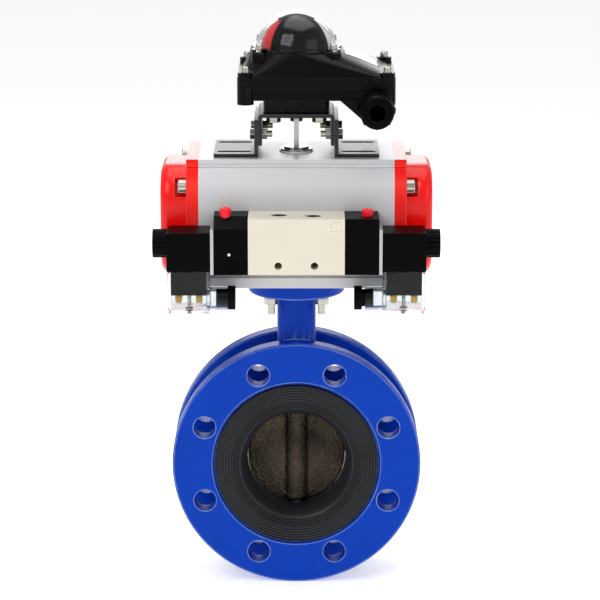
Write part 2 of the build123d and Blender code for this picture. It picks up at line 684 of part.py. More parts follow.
def solenoid_body():
    """The five-port valve block, its ports, and the spool bore between the pilot blocks."""
    width, depth = 2 * SOL_HALF_X, SOL_BACK_Y - SOL_FRONT_Y
    middle_y = (SOL_FRONT_Y + SOL_BACK_Y) / 2
    with BuildPart() as block:
        with BuildSketch(level(SOL_LOW_Z, y=middle_y)):
            Rectangle(width, depth)
        extrude(amount=SOL_HIGH_Z - SOL_LOW_Z)
        fillet(block.edges().filter_by(Axis.X), 1)
        with BuildSketch(across(-SOL_HALF_X, SPOOL_Y, SPOOL_Z)):
            Circle(SPOOL_R + STOP_GAP)
        extrude(amount=width, mode=Mode.SUBTRACT)
        for x, y in TOP_PORTS:
            with BuildSketch(level(SOL_HIGH_Z, x, y)):
                Circle(PORT_R)
            extrude(amount=-12, mode=Mode.SUBTRACT)
            with BuildSketch(level(SOL_HIGH_Z, x, y)):
                Circle(PORT_MOUTH_R)
            extrude(amount=-1, taper=45, mode=Mode.SUBTRACT)
            with BuildSketch(level(SOL_HIGH_Z - 12, x, y)):
                Circle(PASSAGE_R)
            extrude(amount=-8, mode=Mode.SUBTRACT)
        for x in LOW_PORTS_X:
            with BuildSketch(level(SOL_LOW_Z, x, SPOOL_Y + 2)):
                Circle(PORT_R)
            extrude(amount=10, mode=Mode.SUBTRACT)
            with BuildSketch(level(SOL_LOW_Z + 10, x, SPOOL_Y + 2)):
                Circle(PASSAGE_R)
            extrude(amount=8, mode=Mode.SUBTRACT)
        with BuildSketch(facing(SOL_FRONT_Y - 1, z=FIXING_Z)):
            with Locations((-FIXING_X, 0), (FIXING_X, 0)):
                Circle(3.0)
        extrude(amount=SOL_FRONT_Y - 1 - FIXING_SEAT_Y, mode=Mode.SUBTRACT)
        with BuildSketch(facing(FIXING_SEAT_Y, z=FIXING_Z)):
            with Locations((-FIXING_X, 0), (FIXING_X, 0)):
                Circle(1.6)
        extrude(amount=-4, mode=Mode.SUBTRACT)
        with BuildSketch(facing(SOL_BACK_Y, z=AIR_HOLE_Z)):
            with Locations((-AIR_HOLE_X, 0), (AIR_HOLE_X, 0)):
                Circle(3.5)
        extrude(amount=14, mode=Mode.SUBTRACT)
    save("solenoid_body", block.part)
    with BuildPart() as gasket:
        with BuildSketch(facing(FRONT_Y)):
            with Locations((0, (SOL_LOW_Z + SOL_HIGH_Z) / 2)):
                Rectangle(width - 4, SOL_HIGH_Z - SOL_LOW_Z - 4)
            with Locations((-AIR_HOLE_X, AIR_HOLE_Z), (AIR_HOLE_X, AIR_HOLE_Z)):
                Circle(4.5, mode=Mode.SUBTRACT)
            with Locations((-FIXING_X, FIXING_Z), (FIXING_X, FIXING_Z)):
                Circle(1.6, mode=Mode.SUBTRACT)
        extrude(amount=1)
    save("solenoid_gasket", gasket.part)
    seats = [facing(FIXING_SEAT_Y, x, FIXING_Z) for x in (-FIXING_X, FIXING_X)]
    group("solenoid_screws", [socket_screw(seat, 2.75, 3, 1.45, 10.5) for seat in seats])


def valve_spool():
    """The grooved spool that shifts along X between the pilot blocks."""
    with BuildPart() as spool:
        with BuildSketch(across(-35, SPOOL_Y, SPOOL_Z)):
            Circle(SPOOL_R)
        extrude(amount=66)
        for x in SPOOL_GROOVES:
            with BuildSketch(across(x, SPOOL_Y, SPOOL_Z)):
                Circle(SPOOL_R + 1)
                Circle(SPOOL_WAIST_R, mode=Mode.SUBTRACT)
            extrude(amount=6, mode=Mode.SUBTRACT)
    save("valve_spool", spool.part)


def pilot_blocks():
    """The black end blocks with their override buttons; the left one has a sloping top."""
    depth = SOL_BACK_Y - 1 - SOL_FRONT_Y
    middle_y = (SOL_FRONT_Y + SOL_BACK_Y - 1) / 2
    for side in (LEFT, RIGHT):
        rise = BUTTON_RISE[side]
        with BuildPart() as block:
            with BuildSketch(level(SOL_LOW_Z, side * (SOL_HALF_X + PILOT_OUT_X) / 2, middle_y)):
                Rectangle(PILOT_OUT_X - SOL_HALF_X, depth)
            extrude(amount=SOL_HIGH_Z - SOL_LOW_Z)
            top_front = block.edges().filter_by(Axis.X).group_by(Axis.Z)[-1].sort_by(Axis.Y)[0]
            if side == LEFT:
                chamfer(top_front, 8, 13, reference=block.faces().sort_by(Axis.Y)[0])
            else:
                chamfer(top_front, 1)
            with BuildSketch(across(side * SOL_HALF_X, SPOOL_Y, SPOOL_Z)):
                Circle(SPOOL_R + 1)
            extrude(amount=side * 8, mode=Mode.SUBTRACT)
            with BuildSketch(across(side * PILOT_OUT_X, SPOOL_Y, SPOOL_Z)):
                Circle(4.6)
            extrude(amount=-side * 12, mode=Mode.SUBTRACT)
            with BuildSketch(level(SOL_HIGH_Z + 1, side * BUTTON_X, SPOOL_Y)):
                Circle(BUTTON_R + STOP_GAP)
            extrude(amount=-15, mode=Mode.SUBTRACT)
        save(f"pilot_block_{SIDE_NAMES[side]}", block.part)
        with BuildPart() as button:
            with BuildSketch(level(SOL_HIGH_Z - 9, side * BUTTON_X, SPOOL_Y)):
                Circle(BUTTON_R)
            extrude(amount=9 + rise)
            fillet(button.faces().sort_by(Axis.Z)[-1].edges(), 0.8)
            with BuildSketch(level(SOL_HIGH_Z + rise, side * BUTTON_X, SPOOL_Y)):
                Rectangle(1, 5)
            extrude(amount=-1, mode=Mode.SUBTRACT)
        save(f"override_button_{SIDE_NAMES[side]}", button.part)


def coils():
    """The armature tubes with their flange plates, the plungers in them, the coils and their round nuts."""
    plates, windings, nuts = [], [], []
    for side in (LEFT, RIGHT):
        with BuildPart() as tube:
            with BuildSketch(across(side * PILOT_OUT_X, SPOOL_Y, SPOOL_Z)):
                with Locations((0, (SOL_LOW_Z + 204) / 2 - SPOOL_Z)):
                    Rectangle(COIL_W, 204 - SOL_LOW_Z)
            extrude(amount=side * PLATE_T)
            with BuildSketch(across(side * PILOT_OUT_X, SPOOL_Y, SPOOL_Z)):
                Circle(TUBE_R)
            extrude(amount=side * (COIL_NUT_X - 2 - PILOT_OUT_X))
            with BuildSketch(across(side * PILOT_OUT_X, SPOOL_Y, SPOOL_Z)):
                Circle(4.5)
            extrude(amount=side * 30, mode=Mode.SUBTRACT)
        plates.append(tube.part)
        with BuildPart() as plunger:
            with BuildSketch(across(side * (PILOT_OUT_X - 6), SPOOL_Y, SPOOL_Z)):
                Circle(PLUNGER_R)
            extrude(amount=side * 34)
            with BuildSketch(across(side * (PILOT_OUT_X - 6), SPOOL_Y, SPOOL_Z)):
                Circle(2)
            extrude(amount=side * 3, mode=Mode.SUBTRACT)
        save(f"plunger_{SIDE_NAMES[side]}", plunger.part)
        with BuildPart() as coil:
            with BuildSketch(across(side * COIL_IN_X, SPOOL_Y, (COIL_LOW_Z + COIL_HIGH_Z) / 2)):
                RectangleRounded(COIL_W, COIL_HIGH_Z - COIL_LOW_Z, 1.5)
            extrude(amount=side * (COIL_OUT_X - COIL_IN_X))
            fillet(coil.faces().sort_by(Axis.X)[-1 if side > 0 else 0].edges(), 1.2)
            with BuildSketch(across(side * COIL_IN_X, SPOOL_Y, SPOOL_Z)):
                Circle(TUBE_R + 0.1)
            extrude(amount=side * (COIL_OUT_X - COIL_IN_X), mode=Mode.SUBTRACT)
        windings.append(coil.part)
        with BuildPart() as nut:
            with BuildSketch(across(side * COIL_OUT_X, SPOOL_Y, SPOOL_Z)):
                Circle(COIL_NUT_R)
                with PolarLocations(COIL_NUT_R + 0.7, 12):
                    Circle(1.5, mode=Mode.SUBTRACT)
            extrude(amount=side * (COIL_NUT_X - COIL_OUT_X))
            with BuildSketch(across(side * COIL_OUT_X, SPOOL_Y, SPOOL_Z)):
                Circle(TUBE_R + STOP_GAP)
            extrude(amount=side * (COIL_NUT_X - 2 - COIL_OUT_X), mode=Mode.SUBTRACT)
        nuts.append(nut.part)
    group("armature_tubes", plates)
    group("coils", windings)
    group("coil_nuts", nuts)


def connectors():
    """The clear plug housings under the coils, with terminal inserts, fixing screws and gland nuts."""
    housings, inserts, screws, glands = [], [], [], []
    for side in (LEFT, RIGHT):
        middle_x = side * PLUG_MID_X
        inner_x = side * (PLUG_MID_X - 16)
        end_x = side * STUB_END_X
        with BuildPart() as housing:
            with BuildSketch(level(PLUG_LOW_Z, middle_x, SPOOL_Y)):
                RectangleRounded(PLUG_X, PLUG_Y, 2)
            extrude(amount=COIL_LOW_Z - PLUG_LOW_Z)
            with BuildSketch(across(inner_x, SPOOL_Y, GLAND_Z)):
                Circle(STUB_R)
            extrude(amount=end_x - inner_x)
            for k in range(6):
                with BuildSketch(across(side * (55 + 1.7 * k), SPOOL_Y, GLAND_Z)):
                    Circle(CREST_R)
                extrude(amount=-side * 0.9)
            with BuildSketch(level(PLUG_LOW_Z + 2.5, middle_x, SPOOL_Y)):
                RectangleRounded(PLUG_X - 2 * PLUG_WALL, PLUG_Y - 2 * PLUG_WALL, 1)
            extrude(amount=COIL_LOW_Z - PLUG_LOW_Z, mode=Mode.SUBTRACT)
            with BuildSketch(across(end_x, SPOOL_Y, GLAND_Z)):
                Circle(STUB_BORE_R)
            extrude(amount=side * 16, mode=Mode.SUBTRACT)
            with BuildSketch(level(PLUG_LOW_Z, middle_x, SPOOL_Y)):
                Circle(1.7)
            extrude(amount=3, mode=Mode.SUBTRACT)
        housings.append(housing.part)
        with BuildPart() as insert:
            with BuildSketch(level(INSERT_LOW_Z, middle_x, SPOOL_Y)):
                RectangleRounded(28, 23, 1)
                Circle(1.7, mode=Mode.SUBTRACT)
            extrude(amount=COIL_LOW_Z - INSERT_LOW_Z)
            with BuildSketch(level(INSERT_LOW_Z, middle_x, SPOOL_Y)):
                with Locations((-8, 0), (8, 0)):
                    Rectangle(7, 16)
            extrude(amount=4, mode=Mode.SUBTRACT)
        inserts.append(insert.part)
        under = Plane(origin=(middle_x, SPOOL_Y, PLUG_LOW_Z), z_dir=(0, 0, -1))
        screws.append(socket_screw(under, 3, 2.2, 1.5, 32))
        out = 0.0 if side == LEFT else 2.5
        head_x = end_x - side * out
        with BuildPart() as gland:
            with BuildSketch(across(head_x, SPOOL_Y, GLAND_Z)):
                Circle(9.4)
                with PolarLocations(9.9, 16):
                    Circle(0.9, mode=Mode.SUBTRACT)
            extrude(amount=-side * 6)
            with BuildSketch(across(head_x, SPOOL_Y, GLAND_Z)):
                Circle(STUB_BORE_R - 0.1)
            extrude(amount=side * 9)
            with BuildSketch(across(head_x - side * 6, SPOOL_Y, GLAND_Z)):
                Circle(CABLE_HOLE_R)
            extrude(amount=side * 15, mode=Mode.SUBTRACT)
        glands.append(gland.part)
    group("connectors", housings)
    group("terminal_inserts", inserts)
    group("connector_screws", screws)
    group("connector_gland_nuts", glands)


# --------------------------------------------- bracket and limit switch box


def bracket():
    """The sheet steel bracket: a plate with bent sides, and a slotted foot bolted to each side."""
    with BuildPart() as plate:
        with BuildSketch(facing(STEM_Y + 30)):
            with BuildLine():
                outer = Polyline((-LEG_X + SHEET_T, PLATE_Z - SIDE_DROP),
                                 (-LEG_X + SHEET_T, PLATE_Z + SHEET_T),
                                 (LEG_X - SHEET_T, PLATE_Z + SHEET_T),
                                 (LEG_X - SHEET_T, PLATE_Z - SIDE_DROP))
                offset(outer, amount=-SHEET_T, side=Side.RIGHT, kind=Kind.INTERSECTION)
            make_face()
        extrude(amount=60)
        outside = plate.edges().filter_by(Axis.Y).group_by(Axis.Z)[-1]
        fillet(outside, 3)
        with BuildSketch(level(PLATE_Z)):
            Circle(12)
            with GridLocations(2 * BOX_BOLT_XY, 2 * BOX_BOLT_XY, 2, 2):
                Circle(BOX_BOLT_HOLE_R)
        extrude(amount=SHEET_T, mode=Mode.SUBTRACT)
        with BuildSketch(across(-LEG_X, STEM_Y, BOLT_Z)):
            with Locations((-BRACKET_BOLT_Y, 0), (BRACKET_BOLT_Y, 0)):
                Circle(BRACKET_HOLE_R)
        extrude(amount=2 * LEG_X, mode=Mode.SUBTRACT)
    save("bracket_plate", plate.part)
    for side in (LEFT, RIGHT):
        outer_x = side * LEG_X
        middle_x = side * (LEG_X + FOOT_OUT_X - SHEET_T) / 2
        with BuildPart() as foot:
            with BuildSketch(level(TOP_Z, middle_x)):
                RectangleRounded(FOOT_OUT_X - LEG_X + SHEET_T, 2 * FOOT_HALF_Y, 2)
            extrude(amount=SHEET_T)
            with BuildSketch(across(outer_x)):
                with Locations((0, (TOP_Z + FOOT_TOP_Z) / 2 - AXIS_Z)):
                    Rectangle(2 * FOOT_HALF_Y, FOOT_TOP_Z - TOP_Z)
            extrude(amount=-side * SHEET_T)
            with BuildSketch(level(TOP_Z, side * 49)):
                with Locations((0, -SLOT_Y), (0, SLOT_Y)):
                    SlotOverall(SLOT_L, SLOT_W)
            extrude(amount=SHEET_T, mode=Mode.SUBTRACT)
            with BuildSketch(across(outer_x, STEM_Y, BOLT_Z)):
                with Locations((-BRACKET_BOLT_Y, 0), (BRACKET_BOLT_Y, 0)):
                    Circle(BRACKET_HOLE_R)
            extrude(amount=-side * SHEET_T, mode=Mode.SUBTRACT)
        save(f"bracket_foot_{SIDE_NAMES[side]}", foot.part)
    fasteners = []
    for side in (LEFT, RIGHT):
        for y in (STEM_Y - BRACKET_BOLT_Y, STEM_Y + BRACKET_BOLT_Y):
            head = Plane(origin=(side * LEG_X, y, BOLT_Z), x_dir=(0, 1, 0), z_dir=(side, 0, 0))
            fasteners.append(hex_screw(head, 8, 3.5, 2.5, 14))
            inner_x = side * (LEG_X - 2 * SHEET_T)
            inside = Plane(origin=(inner_x, y, BOLT_Z), x_dir=(0, 1, 0), z_dir=(-side, 0, 0))
            fasteners.append(hex_nut(inside, 8, 2.55, 4))
    for x in (-BOX_BOLT_XY, BOX_BOLT_XY):
        for y in (STEM_Y - BOX_BOLT_XY, STEM_Y + BOX_BOLT_XY):
            under = Plane(origin=(x, y, PLATE_Z), z_dir=(0, 0, -1))
            fasteners.append(hex_screw(under, 10, 5, 3, 12))
    group("bracket_fasteners", fasteners)


def box_corners():
    """The four places of the box's lid screws."""
    return [(x, y) for x in (BOX_LEFT_X + POST_R, BOX_RIGHT_X - POST_R)
            for y in (STEM_Y - BOX_HALF_Y + POST_R, STEM_Y + BOX_HALF_Y - POST_R)]


def box_base():
    """The black cast base: a pedestal on the bracket, a shallow tub, screw posts and a sloping conduit."""
    lean = CONDUIT_R * math.cos(math.radians(45))
    with BuildPart() as base:
        with BuildSketch(level(BOX_BASE_Z)):
            RectangleRounded(PEDESTAL, PEDESTAL, 6)
            with Locations((-8, -26), (8, -26), (-8, 26), (8, 26)):
                Rectangle(2, 4, mode=Mode.SUBTRACT)
        extrude(amount=TUB_Z - BOX_BASE_Z)
        with BuildSketch(level(TUB_Z, BOX_MID_X)):
            RectangleRounded(BOX_WIDTH - 10, 2 * BOX_HALF_Y - 8, 8)
        extrude(amount=JOINT_Z - TUB_Z)
        with BuildSketch(level(JOINT_Z - 4, BOX_MID_X)):
            RectangleRounded(BOX_WIDTH, 2 * BOX_HALF_Y, 7)
        extrude(amount=4)
        for x, y in box_corners():
            with BuildSketch(level(TUB_Z - 3, x, y)):
                Circle(POST_R)
            extrude(amount=JOINT_Z - TUB_Z + 3)
        with BuildSketch(facing(STEM_Y + BOX_HALF_Y)):
            with Locations((GLAND_X, BOX_GLAND_Z)):
                Circle(CONDUIT_R)
            with BuildLine():
                Polyline((GLAND_X - 2 * CONDUIT_R, TUB_Z + 1), (GLAND_X - lean, BOX_GLAND_Z - lean),
                         (GLAND_X + lean, BOX_GLAND_Z - lean), (BOX_RIGHT_X - 1, TUB_Z + 1), close=True)
            make_face()
        extrude(amount=2 * BOX_HALF_Y)
        with BuildSketch(level(BOX_BASE_Z - 7)):
            Circle(9)
        extrude(amount=8)
        with BuildSketch(level(FLOOR_Z, BOX_MID_X)):
            RectangleRounded(BOX_WIDTH - 17, 2 * BOX_HALF_Y - 15, 5)
        extrude(amount=JOINT_Z - TUB_Z, mode=Mode.SUBTRACT)
        for x, y in box_corners():
            with BuildSketch(level(TUB_Z - 3, x, y)):
                Circle(POST_R)
            extrude(amount=JOINT_Z - TUB_Z + 3)
            with BuildSketch(level(JOINT_Z, x, y)):
                Circle(2.0)
            extrude(amount=-4, mode=Mode.SUBTRACT)
        with BuildSketch(facing(STEM_Y + BOX_HALF_Y + 1, GLAND_X, BOX_GLAND_Z)):
            Circle(CONDUIT_BORE_R)
        extrude(amount=2 * BOX_HALF_Y + 2, mode=Mode.SUBTRACT)
        with BuildSketch(level(BOX_BASE_Z - 8)):
            Circle(SHAFT_HOLE_R)
        extrude(amount=40, mode=Mode.SUBTRACT)
        with BuildSketch(level(BOX_BASE_Z)):
            with GridLocations(2 * BOX_BOLT_XY, 2 * BOX_BOLT_XY, 2, 2):
                Circle(3.0)
        extrude(amount=10, mode=Mode.SUBTRACT)
    save("box_base", base.part)


def box_lid():
    """The black lid: a rim, sloping faces up to a round seat, and bosses for the dome's screws."""
    with BuildPart() as lid:
        with BuildSketch(level(JOINT_Z + 0.5, BOX_MID_X)):
            RectangleRounded(BOX_WIDTH, 2 * BOX_HALF_Y, 7)
        extrude(amount=RIM_Z - JOINT_Z - 4.5)
        with BuildSketch(level(RIM_Z - 4, BOX_MID_X)):
            RectangleRounded(BOX_WIDTH - 6, 2 * BOX_HALF_Y - 6, 9)
        with BuildSketch(level(HUMP_Z, BOX_MID_X * 0.55)):
            RectangleRounded(BOX_WIDTH - 28, 2 * BOX_HALF_Y - 14, 24)
        with BuildSketch(level(SEAT_Z)):
            RectangleRounded(72, 72, 34)
        loft()
        for x in (-LUG_X, LUG_X):
            for y in (-LUG_Y, LUG_Y):
                with BuildSketch(level(RIM_Z - 4, x, STEM_Y + y)):
                    Circle(6.2)
                extrude(amount=SEAT_Z - RIM_Z + 4)
        with BuildSketch(level(JOINT_Z, BOX_MID_X)):
            RectangleRounded(BOX_WIDTH - 17, 2 * BOX_HALF_Y - 15, 5)
        extrude(amount=RIM_Z - JOINT_Z - 4, mode=Mode.SUBTRACT)
        with BuildSketch(level(RIM_Z - 4, BOX_MID_X)):
            RectangleRounded(BOX_WIDTH - 20, 2 * BOX_HALF_Y - 20, 5)
        with BuildSketch(level(SEAT_Z - 4)):
            RectangleRounded(56, 56, 27)
        loft(mode=Mode.SUBTRACT)
        with BuildSketch(level(SEAT_Z)):
            Circle(SHAFT_HOLE_R)
            with Locations(*[(x, y) for x in (-LUG_X, LUG_X) for y in (-LUG_Y, LUG_Y)]):
                Circle(1.5)
        extrude(amount=-8, mode=Mode.SUBTRACT)
        for x, y in box_corners():
            with BuildSketch(level(JOINT_Z, x, y)):
                Circle(6.0)
            extrude(amount=RIM_Z - JOINT_Z)
            with BuildSketch(level(JOINT_Z, x, y)):
                Circle(2.3)
            extrude(amount=20, mode=Mode.SUBTRACT)
    save("box_lid", lid.part)
    with BuildPart() as seal:
        with BuildSketch(level(JOINT_Z, BOX_MID_X)):
            RectangleRounded(BOX_WIDTH - 11, 2 * BOX_HALF_Y - 9, 5)
            RectangleRounded(BOX_WIDTH - 16, 2 * BOX_HALF_Y - 14, 5, mode=Mode.SUBTRACT)
            with Locations(*[(x - BOX_MID_X, y - STEM_Y) for x, y in box_corners()]):
                Circle(6.2, mode=Mode.SUBTRACT)
        extrude(amount=0.5)
    save("box_seal", seal.part)


def spherical_shell(outer, inner, low_z):
    """A hollow cap about the dome's centre, kept above a height."""
    with BuildPart() as shell:
        with Locations((0, STEM_Y, DOME_Z)):
            Sphere(outer)
            Sphere(inner, mode=Mode.SUBTRACT)
        split(bisect_by=Plane(origin=(0, STEM_Y, low_z)), keep=Keep.TOP)
    return shell.part


def wedge(start_deg, sweep_deg, low_z):
    """A tall pie slice about the stem axis, for cutting sectors."""
    with BuildPart() as slice_:
        with BuildSketch(level(low_z)):
            with BuildLine():
                Line((0, 0), PolarLine((0, 0), 50, start_deg) @ 1)
                CenterArc((0, 0), 50, start_deg, sweep_deg)
                Line(PolarLine((0, 0), 50, start_deg + sweep_deg) @ 1, (0, 0))
            make_face()
        extrude(amount=60)
    return slice_.part


def quarters(turns, low_z):
    """The chosen quarters of the shell that shows through the mask's windows, open at the crown."""
    shell = spherical_shell(DOME_R - 4, DOME_R - 5.5, low_z)
    gaps = [wedge(MASK_TURN + turn - 45, 90, SEAT_Z) for turn in QUARTER_TURNS if turn not in turns]
    with BuildPart() as kept:
        add(shell)
        add(gaps, mode=Mode.SUBTRACT)
        with BuildSketch(level(DOME_Z)):
            Circle(CROWN_R)
        extrude(amount=DOME_R, mode=Mode.SUBTRACT)
    return kept.part


def indicator():
    """The clear dome, the black mask with two windows, and the white rotor with one red quarter."""
    clear_shell = spherical_shell(DOME_R, DOME_R - DOME_T, SEAT_Z)
    lugs = [(x, y) for x in (-LUG_X, LUG_X) for y in (-LUG_Y, LUG_Y)]
    with BuildPart() as dome:
        add(clear_shell)
        with BuildSketch(level(SEAT_Z)):
            Circle(DOME_FLANGE_R)
            with Locations(*lugs):
                Circle(EAR_R)
            Circle(DOME_R - DOME_T, mode=Mode.SUBTRACT)
        extrude(amount=DOME_FLANGE_T)
        with BuildSketch(level(SEAT_Z)):
            with Locations(*lugs):
                Circle(1.9)
        extrude(amount=DOME_FLANGE_T, mode=Mode.SUBTRACT)
    save("indicator_dome", dome.part)
    screws = [socket_screw(level(RIM_Z, x, y), 3.6, 4.5, 1.95, 11) for x, y in box_corners()]
    ear_z = SEAT_Z + DOME_FLANGE_T
    screws += [socket_screw(level(ear_z, x, STEM_Y + y), 3.2, 4, 1.45, 9) for x, y in lugs]
    group("cover_screws", screws)
    windows = [wedge(middle + MASK_TURN - WINDOW_DEG / 2, WINDOW_DEG, SEAT_Z + 1.5) for middle in (0, 180)]
    mask_shell = spherical_shell(DOME_R - 2.3, DOME_R - 3.5, SEAT_Z)
    mask_cap = spherical_shell(DOME_R - 2.3, DOME_R - 3.5, DOME_Z + 25.2)
    with BuildPart() as mask:
        add(mask_shell)
        add(windows, mode=Mode.SUBTRACT)
        add(mask_cap)
    save("indicator_mask", mask.part)
    white = quarters([turn for turn in QUARTER_TURNS if turn != FLAG_TURN], SEAT_Z + 1)
    with BuildPart() as rotor:
        add(white)
        with BuildSketch(level(SEAT_Z + 1)):
            Circle(DOME_R - 5)
        extrude(amount=1)
        with BuildSketch(level(SEAT_Z + 1)):
            Circle(8)
        extrude(amount=8)
        with BuildSketch(level(SEAT_Z + 1)):
            Circle(SHAFT_R)
        extrude(amount=5, mode=Mode.SUBTRACT)
    save("indicator_rotor", rotor.part)
    save("indicator_flags", quarters([FLAG_TURN], SEAT_Z + 2))


def switch_gear():
    """The switch shaft with its two cams, the micro switches and the terminal strip inside the box."""
    with BuildPart() as shaft:
        with BuildSketch(level(BOX_BASE_Z - 10)):
            Circle(SHAFT_R)
        extrude(amount=SEAT_Z + 6 - BOX_BASE_Z + 10)
        with BuildSketch(level(TOP_Z - 1.5)):
            Rectangle(4, 9)
        extrude(amount=BOX_BASE_Z - 10 - TOP_Z + 1.5)
    save("switch_shaft", shaft.part)
    cams = []
    for z, turn in zip(CAM_LEVELS, (90, 0)):
        with BuildPart() as cam:
            with BuildSketch(level(z)):
                Circle(11)
                with PolarLocations(4, 1, start_angle=turn):
                    Circle(9)
                Circle(SHAFT_R, mode=Mode.SUBTRACT)
            extrude(amount=4.5)
        cams.append(cam.part)
    group("switch_cams", cams)
    switches = []
    for name, z in zip(("closed", "open"), CAM_LEVELS):
        with BuildPart() as switch:
            with BuildSketch(level(z - 1.5, 0, STEM_Y + 26)):
                Rectangle(20, 12)
            extrude(amount=CAM_LEVELS[1] - CAM_LEVELS[0])
            with BuildSketch(facing(STEM_Y + 20, 0, z + 2.25)):
                Circle(1.3)
            extrude(amount=-6, mode=Mode.SUBTRACT)
        switches.append(switch.part)
        save(f"switch_plunger_{name}", rod(facing(STEM_Y + 24.5, 0, z + 2.25), 1.2, 24.5 - 14.4))
    group("micro_switches", switches)
    with BuildPart() as strip:
        with BuildSketch(level(FLOOR_Z, 44)):
            Rectangle(14, 60)
        extrude(amount=9)
        with BuildSketch(level(FLOOR_Z + 9, 44)):
            with GridLocations(0, 7, 1, 8):
                Rectangle(9, 4.5)
        extrude(amount=-5, mode=Mode.SUBTRACT)
    save("terminal_strip", strip.part)


def cable_gland():
    """The gland in the front conduit entry, and the blanking plug in the rear one."""
    front_y = STEM_Y - BOX_HALF_Y
    with BuildPart() as gland:
        with BuildSketch(facing(front_y + 9, GLAND_X, BOX_GLAND_Z)):
            Circle(CONDUIT_BORE_R)
        extrude(amount=9)
        with BuildSketch(facing(front_y, GLAND_X, BOX_GLAND_Z)):
            RegularPolygon(GLAND_NUT_R - 0.4, 6, major_radius=False)
        extrude(amount=7)
        with BuildSketch(facing(front_y - 7, GLAND_X, BOX_GLAND_Z)):
            Circle(CONDUIT_BORE_R)
        extrude(amount=8)
        with BuildSketch(facing(front_y + 9, GLAND_X, BOX_GLAND_Z)):
            Circle(CABLE_R)
        extrude(amount=30, mode=Mode.SUBTRACT)
    save("cable_gland", gland.part)
    with BuildPart() as cap:
        with BuildSketch(facing(front_y - 7.5, GLAND_X, BOX_GLAND_Z)):
            RegularPolygon(GLAND_NUT_R, 8, major_radius=False)
        extrude(amount=9)
        with BuildSketch(facing(front_y - 16.5, GLAND_X, BOX_GLAND_Z)):
            Circle(GLAND_NUT_R - 0.3)
        extrude(amount=9)
        fillet(cap.faces().sort_by(Axis.Y)[0].edges(), 3.5)
        with BuildSketch(facing(front_y - 7.5, GLAND_X, BOX_GLAND_Z)):
            Circle(CONDUIT_BORE_R + 0.1)
        extrude(amount=8, mode=Mode.SUBTRACT)
        with BuildSketch(facing(front_y - 7.5, GLAND_X, BOX_GLAND_Z)):
            Circle(CABLE_R)
        extrude(amount=20, mode=Mode.SUBTRACT)
    save("gland_nut", cap.part)
    rear = facing(STEM_Y + BOX_HALF_Y, GLAND_X, BOX_GLAND_Z)
    with BuildPart() as plug:
        with BuildSketch(rear):
            RegularPolygon(11, 6, major_radius=False)
        extrude(amount=-4)
        with BuildSketch(rear):
            Circle(CONDUIT_BORE_R)
        extrude(amount=9)
    save("blanking_plug", plug.part)


os.makedirs("parts", exist_ok=True)
valve_body()
seat_liner()
valve_disc()
valve_stem()
stem_fittings()
top_flange_fasteners()
actuator_body()
end_caps()
pinion()
stop_cam()
pistons()
solenoid_body()
valve_spool()
pilot_blocks()
coils()
connectors()
bracket()
box_base()
box_lid()
indicator()
switch_gear()
cable_gland()
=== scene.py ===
"""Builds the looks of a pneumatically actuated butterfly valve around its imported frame."""

import json
import logging
import math
from dataclasses import dataclass, field
from enum import Enum
from typing import Any

import bmesh
import bpy
from mathutils import Matrix, Vector
from mathutils.bvhtree import BVHTree

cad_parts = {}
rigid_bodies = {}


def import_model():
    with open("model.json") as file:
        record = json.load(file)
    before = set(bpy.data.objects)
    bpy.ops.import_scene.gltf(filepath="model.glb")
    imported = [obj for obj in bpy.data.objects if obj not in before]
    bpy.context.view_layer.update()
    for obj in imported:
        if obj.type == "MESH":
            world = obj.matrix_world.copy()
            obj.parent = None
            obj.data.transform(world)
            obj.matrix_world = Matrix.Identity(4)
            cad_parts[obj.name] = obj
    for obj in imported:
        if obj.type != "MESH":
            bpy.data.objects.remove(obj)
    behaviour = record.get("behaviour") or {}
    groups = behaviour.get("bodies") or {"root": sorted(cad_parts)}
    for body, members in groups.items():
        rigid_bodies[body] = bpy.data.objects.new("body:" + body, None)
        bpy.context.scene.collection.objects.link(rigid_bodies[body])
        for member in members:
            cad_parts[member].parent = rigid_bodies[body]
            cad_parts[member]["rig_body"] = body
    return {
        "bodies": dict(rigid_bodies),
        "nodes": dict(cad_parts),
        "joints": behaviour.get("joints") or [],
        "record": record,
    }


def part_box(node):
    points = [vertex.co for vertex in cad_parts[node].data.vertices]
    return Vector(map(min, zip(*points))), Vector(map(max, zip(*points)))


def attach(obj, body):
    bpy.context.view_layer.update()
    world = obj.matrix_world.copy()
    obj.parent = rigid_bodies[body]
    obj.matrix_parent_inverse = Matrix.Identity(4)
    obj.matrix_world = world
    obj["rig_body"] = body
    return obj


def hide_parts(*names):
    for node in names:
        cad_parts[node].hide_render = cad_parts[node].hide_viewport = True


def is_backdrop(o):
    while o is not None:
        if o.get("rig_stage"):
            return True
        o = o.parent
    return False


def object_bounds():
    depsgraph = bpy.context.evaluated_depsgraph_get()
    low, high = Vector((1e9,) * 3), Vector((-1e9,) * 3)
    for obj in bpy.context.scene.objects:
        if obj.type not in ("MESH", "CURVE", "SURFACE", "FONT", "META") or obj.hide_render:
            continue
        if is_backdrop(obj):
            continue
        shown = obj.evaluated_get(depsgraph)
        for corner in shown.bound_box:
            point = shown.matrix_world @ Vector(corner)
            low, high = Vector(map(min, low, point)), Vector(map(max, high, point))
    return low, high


LOG = logging.getLogger("valve")
MM = 0.001
STEM_Y = 0.032
UP = Vector((0, 0, 1))
ALONG_FLOW = Vector((0, 1, 0))
# Corners closer than this are one corner, in metres: on a CAD mesh, and where a spin closes on itself.
MERGE_M = 1e-6
SPIN_MERGE_M = 1e-7
# A surface that turns by more than this is shaded as an edge.
SHARP_DEG = 32
# An edge that turns by more than this is rounded, and one that turns by less than the other is removed.
ROUNDED_DEG = 35
FLAT_DEG = 0.5
# The slow mottling that every finish shares: blotches per metre, and the band of its noise that shows.
MOTTLE_PER_METRE = 28.0
MOTTLE_BAND = (0.35, 0.75)
